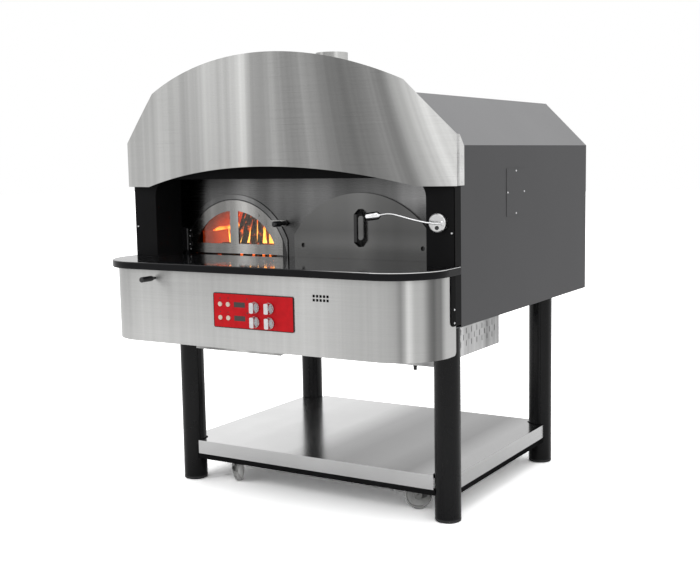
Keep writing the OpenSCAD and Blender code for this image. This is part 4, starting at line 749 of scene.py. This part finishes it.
bm = bmesh.new()
for x, y, z in ((-655, -568.2, 1233), (-655, -572.2, 1207), (-655, -572.2, 1168), (-655, -568.2, 1144)):
    lathe(bm, [(0, -0.0005), (0.0035, -0.0005), (0.0033, 0.0008), (0.0022, 0.0019), (0, 0.0023)],
          Matrix.Translation(at(x, y, z)) @ turned((0, -1, 0)), 16)
piece("fire_hinge_screws", bm, finishes["zinc"], "fire_door", smooth=50)


# ---- fire behind the panes

random.seed(7)
FLAME_TONES = [(0.0, (0.9, 0.20, 0.02)), (0.22, (1.0, 0.62, 0.16)), (0.42, (1.0, 0.50, 0.09)),
               (0.6, (0.90, 0.14, 0.012)), (1.0, (0.35, 0.03, 0.004))]
EMBER_TONES = [(0.0, (1.0, 0.30, 0.03)), (0.35, (0.9, 0.10, 0.01)), (0.6, (0.12, 0.015, 0.004)),
               (1.0, (0.01, 0.005, 0.004))]
glow_flame = glowing("flame_glow", FLAME_TONES, 2.7, 34, 1.13, 1.30)
glow_ember = glowing("ember_glow", EMBER_TONES, 2.2, 60, 1.115, 1.21)


def flame(bm, foot, height, width, lean):
    """One closed tongue of flame."""
    rings = 12
    sides = 10
    turn = random.uniform(0, math.pi)
    made = []
    for i in range(rings):
        t = i / rings
        belly = math.sin(math.pi * min(1, t * 1.25 + 0.12)) * (1 - t) ** 0.55
        r = width * (0.35 + 0.9 * belly) * (1 - t * 0.35)
        sway = Vector((math.sin(t * 5 + turn) * 0.5, math.cos(t * 4 + turn) * 0.3, 0)) * width * t
        middle = foot + Vector((lean * t * t, 0, height * t)) + sway
        turns = (2 * math.pi * k / sides + turn + t * 1.5 for k in range(sides))
        made.append([bm.verts.new(middle + Vector((math.cos(a) * r, math.sin(a) * r * 0.55, 0)))
                     for a in turns])
    tip = bm.verts.new(foot + Vector((lean * 1.15, 0, height * 1.05)))
    for low, high in zip(made, made[1:]):
        for k in range(sides):
            j = (k + 1) % sides
            bm.faces.new((low[k], low[j], high[j], high[k]))
    for k in range(sides):
        bm.faces.new((made[-1][k], made[-1][(k + 1) % sides], tip))
    bm.faces.new(made[0])


def log(bm, foot, tip, radius, seed):
    """A split log with a lumpy bark."""
    steps = 18
    sides = 18
    axis = (tip - foot).normalized()
    side = axis.orthogonal().normalized()
    up = axis.cross(side)
    rings = []
    for i in range(steps + 1):
        t = i / steps
        ring = []
        for k in range(sides):
            a = 2 * math.pi * k / sides
            around = side * math.cos(a) + up * math.sin(a)
            lump = noise.noise(Vector((math.cos(a) * 1.6 + seed, math.sin(a) * 1.6, t * 3)))
            edge = 0.82 if i in (0, steps) else 1.0
            ring.append(bm.verts.new(foot.lerp(tip, t) + around * radius * edge * (1 + 0.22 * lump)))
        rings.append(ring)
    for low, high in zip(rings, rings[1:]):
        for k in range(sides):
            j = (k + 1) % sides
            bm.faces.new((low[k], low[j], high[j], high[k]))
    bm.faces.new(rings[0])
    bm.faces.new(rings[-1])


# Each log's foot and tip in millimetres, its radius and its seed.
LOGS = [((-500, -420, 1135), (-452, -380, 1320), 0.014, 1.0),
        ((-452, -425, 1135), (-422, -385, 1320), 0.015, 5.0),
        ((-400, -420, 1135), (-392, -380, 1310), 0.016, 9.0),
        ((-350, -425, 1135), (-362, -385, 1280), 0.013, 13.0),
        ((-585, -250, 1145), (-250, -215, 1150), 0.034, 17.0)]
bm = bmesh.new()
for foot, tip, radius, seed in LOGS:
    log(bm, at(*foot), at(*tip), radius, seed)
piece("fire_logs", bm, bark(), "cabinet", smooth=60)

# The flames between the logs: their X in millimetres, height and lean.
NEAR_FLAMES = [(-530, 0.17, 0.05), (-478, 0.17, 0.035), (-427, 0.16, 0.015), (-374, 0.15, -0.005),
               (-330, 0.10, -0.01)]
bm = bmesh.new()
for _ in range(20):
    x = random.uniform(-610, -300)
    y = random.uniform(-340, -300)
    height = random.uniform(0.10, 0.19)
    width = random.uniform(0.005, 0.010)
    flame(bm, at(x, y, 1150), height, width, random.uniform(-0.02, 0.02))
for x, height, lean in NEAR_FLAMES:
    flame(bm, at(x, -400, 1140), height, 0.0060, lean)
lick = [at(-640, -440, 1226), at(-620, -400, 1232), at(-570, -350, 1238), at(-552, -345, 1238)]
sweep(bm, smooth_path(lick, 8), lambda t: 0.0110 - 0.0055 * t, 10)
piece("fire_flames", bm, glow_flame, "cabinet", smooth=80)

# The first embers lie in the gap under the fire door.
GAP_EMBERS_X = (-368, -299, -241, -204)
bm = bmesh.new()
for k in range(144):
    x = random.uniform(-612, -170)
    y = random.uniform(-400, -230)
    size = random.uniform(0.008, 0.019)
    if k < len(GAP_EMBERS_X):
        x, y, size = GAP_EMBERS_X[k], -545, 0.007
    middle = at(x, y, 1125 + size * 600)
    made = bmesh.ops.create_icosphere(bm, subdivisions=1, radius=size, matrix=Matrix.Translation(middle))
    for v in made["verts"]:
        out = v.co - middle
        v.co = middle + out * (1 + 0.5 * noise.noise(v.co * 90))
piece("fire_embers", bm, glow_ember, "cabinet", smooth=20)


# ---- marks on the control panel

PANEL_FACE = -1014.0
INK_DEPTH = 0.02
INK_RISE = 0.2
ROUND_SIDES = 20
ink = Finish("printed_ink", (0.02, 0.012, 0.012), 0.5)
ink.vary(ink.spread(ink.noise(ink.place(), 500, 3), 0, 1), 0.8, 1.3)


def slab(bm, points, x, z):
    """A thin raised shape on the panel, from points in millimetres about its own middle."""
    back = [bm.verts.new(at(x + px, PANEL_FACE + INK_DEPTH, z + pz)) for px, pz in points]
    front = [bm.verts.new(at(x + px, PANEL_FACE - INK_RISE, z + pz)) for px, pz in points]
    bm.faces.new(front)
    bm.faces.new(back)
    for i in range(len(points)):
        j = (i + 1) % len(points)
        bm.faces.new((back[i], back[j], front[j], front[i]))


def circle(r):
    """A round outline."""
    turns = [2 * math.pi * i / ROUND_SIDES for i in range(ROUND_SIDES)]
    return [(r * math.cos(a), r * math.sin(a)) for a in turns]


def bar(w, h, dz=0):
    """An oblong outline, raised by dz."""
    return [(-w / 2, dz - h / 2), (w / 2, dz - h / 2), (w / 2, dz + h / 2), (-w / 2, dz + h / 2)]


def ring(bm, r, w, x, z):
    """A thin ring on the panel, as separate short bars end to end."""
    inner, outer = circle(r - w), circle(r)
    for i in range(len(outer)):
        j = (i + 1) % len(outer)
        slab(bm, [inner[i], outer[i], outer[j], inner[j]], x, z)


bm = bmesh.new()
ring(bm, 4.6, 1.4, -137, 984)
slab(bm, circle(1.8), -137, 984)
slab(bm, bar(2.0, 8), -95, 984)
slab(bm, bar(6, 1.6, 3.2), -95, 984)
slab(bm, [(-4.5, -3.5), (-1.5, -3.5), (4.5, 3.5), (1.5, 3.5)], -137, 926)
slab(bm, bar(8, 2.0), -95, 926)
for z in (984, 926):
    slab(bm, [(-4.5, 2.5), (4.5, 2.5), (0, -4)], 4, z)
    slab(bm, circle(1.6), 4, z + 5)
piece("panel_marks", bm, ink.material, "cabinet")


# ---- floor, light and camera

def lamp(name, place, aim, size, power, colour=(1, 1, 1)):
    data = bpy.data.lights.new(name, "AREA")
    data.shape = "RECTANGLE"
    data.size, data.size_y = size
    data.energy = power
    data.color = colour
    made = bpy.data.objects.new(name, data)
    made.location = place
    made.rotation_euler = (Vector(aim) - Vector(place)).to_track_quat("-Z", "Y").to_euler()
    bpy.context.scene.collection.objects.link(made)


lamp("top_light", (0.2, -0.6, 5.2), (0, 0, 1.0), (4.5, 4.5), 60)
lamp("left_light", (-4.0, -4.2, 3.0), (0, -0.3, 1.2), (2.4, 3.0), 25)
lamp("right_light", (4.6, -2.6, 3.2), (0, 0, 1.1), (2.4, 3.0), 15)
lamp("edge_light", (-1.2, -5.0, 4.2), (0, -0.9, 1.1), (2.2, 0.25), 9)
lamp("fire_light", at(-380, -260, 1300), at(-460, -300, 1100), (0.30, 0.10), 1.9, (1.0, 0.12, 0.008))

# The floor's tone as it lights the part, in mirror images and to the camera.
FLOOR_TONE = 0.8
FLOOR_MIRRORED = 1.3
FLOOR_SEEN = 2.4
FLOOR_HALF = 40

floor_mesh = bpy.data.meshes.new("floor")
corners = [(x * FLOOR_HALF, y * FLOOR_HALF, 0) for x, y in ((-1, -1), (1, -1), (1, 1), (-1, 1))]
floor_mesh.from_pydata(corners, [], [(0, 1, 2, 3)])
floor = bpy.data.objects.new("floor", floor_mesh)
bpy.context.scene.collection.objects.link(floor)


def seen(tree):
    """1 for rays that show the background: from the camera, in gloss and through glass."""
    path = tree.nodes.new("ShaderNodeLightPath")
    total = path.outputs["Is Camera Ray"]
    for output in ("Is Glossy Ray", "Is Transmission Ray"):
        add = tree.nodes.new("ShaderNodeMath")
        add.operation = "MAXIMUM"
        tree.links.new(total, add.inputs[0])
        tree.links.new(path.outputs[output], add.inputs[1])
        total = add.outputs[0]
    return total


white = bpy.data.materials.new("floor_white")
white.use_nodes = True
tree = white.node_tree
tree.nodes.clear()
out = tree.nodes.new("ShaderNodeOutputMaterial")
matt = tree.nodes.new("ShaderNodeBsdfDiffuse")
gain = tree.nodes.new("ShaderNodeMapRange")
gain.inputs["To Min"].default_value = FLOOR_TONE
gain.inputs["To Max"].default_value = FLOOR_MIRRORED
tree.links.new(seen(tree), gain.inputs["Value"])
direct = tree.nodes.new("ShaderNodeLightPath")
whiter = tree.nodes.new("ShaderNodeMath")
whiter.operation = "MULTIPLY_ADD"
whiter.inputs[1].default_value = FLOOR_SEEN - FLOOR_MIRRORED
tree.links.new(direct.outputs["Is Camera Ray"], whiter.inputs[0])
tree.links.new(gain.outputs["Result"], whiter.inputs[2])
tree.links.new(whiter.outputs[0], matt.inputs["Color"])
tree.links.new(matt.outputs[0], out.inputs["Surface"])
floor_mesh.materials.append(white)

# The studio's strength as it lights the part, and as it is seen.
SKY_LIGHT = 0.75
SKY_SEEN = 1.0
world = bpy.data.worlds.new("studio")
bpy.context.scene.world = world
world.use_nodes = True
tree = world.node_tree
back = tree.nodes["Background"]
level = tree.nodes.new("ShaderNodeMapRange")
tree.links.new(seen(tree), level.inputs["Value"])
level.inputs["To Min"].default_value = SKY_LIGHT
level.inputs["To Max"].default_value = SKY_SEEN
back.inputs["Color"].default_value = (1, 1, 1, 1)
tree.links.new(level.outputs["Result"], back.inputs["Strength"])

yaw, pitch, roll = math.radians(31.555), math.radians(-6.857), math.radians(-1.0398)
ahead = Vector((-math.sin(yaw) * math.cos(pitch), math.cos(yaw) * math.cos(pitch), math.sin(pitch)))
right = Vector((math.cos(yaw), math.sin(yaw), 0))
up = right.cross(ahead)
right_r = right * math.cos(roll) + up * math.sin(roll)
up_r = up * math.cos(roll) - right * math.sin(roll)
camera_data = bpy.data.cameras.new("camera")
camera_data.sensor_width = 36
camera_data.lens = 56.333
camera_data.shift_x = 0.0066
camera_data.shift_y = 0.0032
camera = bpy.data.objects.new("camera", camera_data)
bpy.context.scene.collection.objects.link(camera)
turn = Matrix((right_r, up_r, -ahead)).transposed().to_4x4()
camera.matrix_world = Matrix.Translation(at(2739.72, -4678.2, 1566.5)) @ turn
bpy.context.scene.camera = camera
bpy.context.scene.view_settings.view_transform = "Standard"
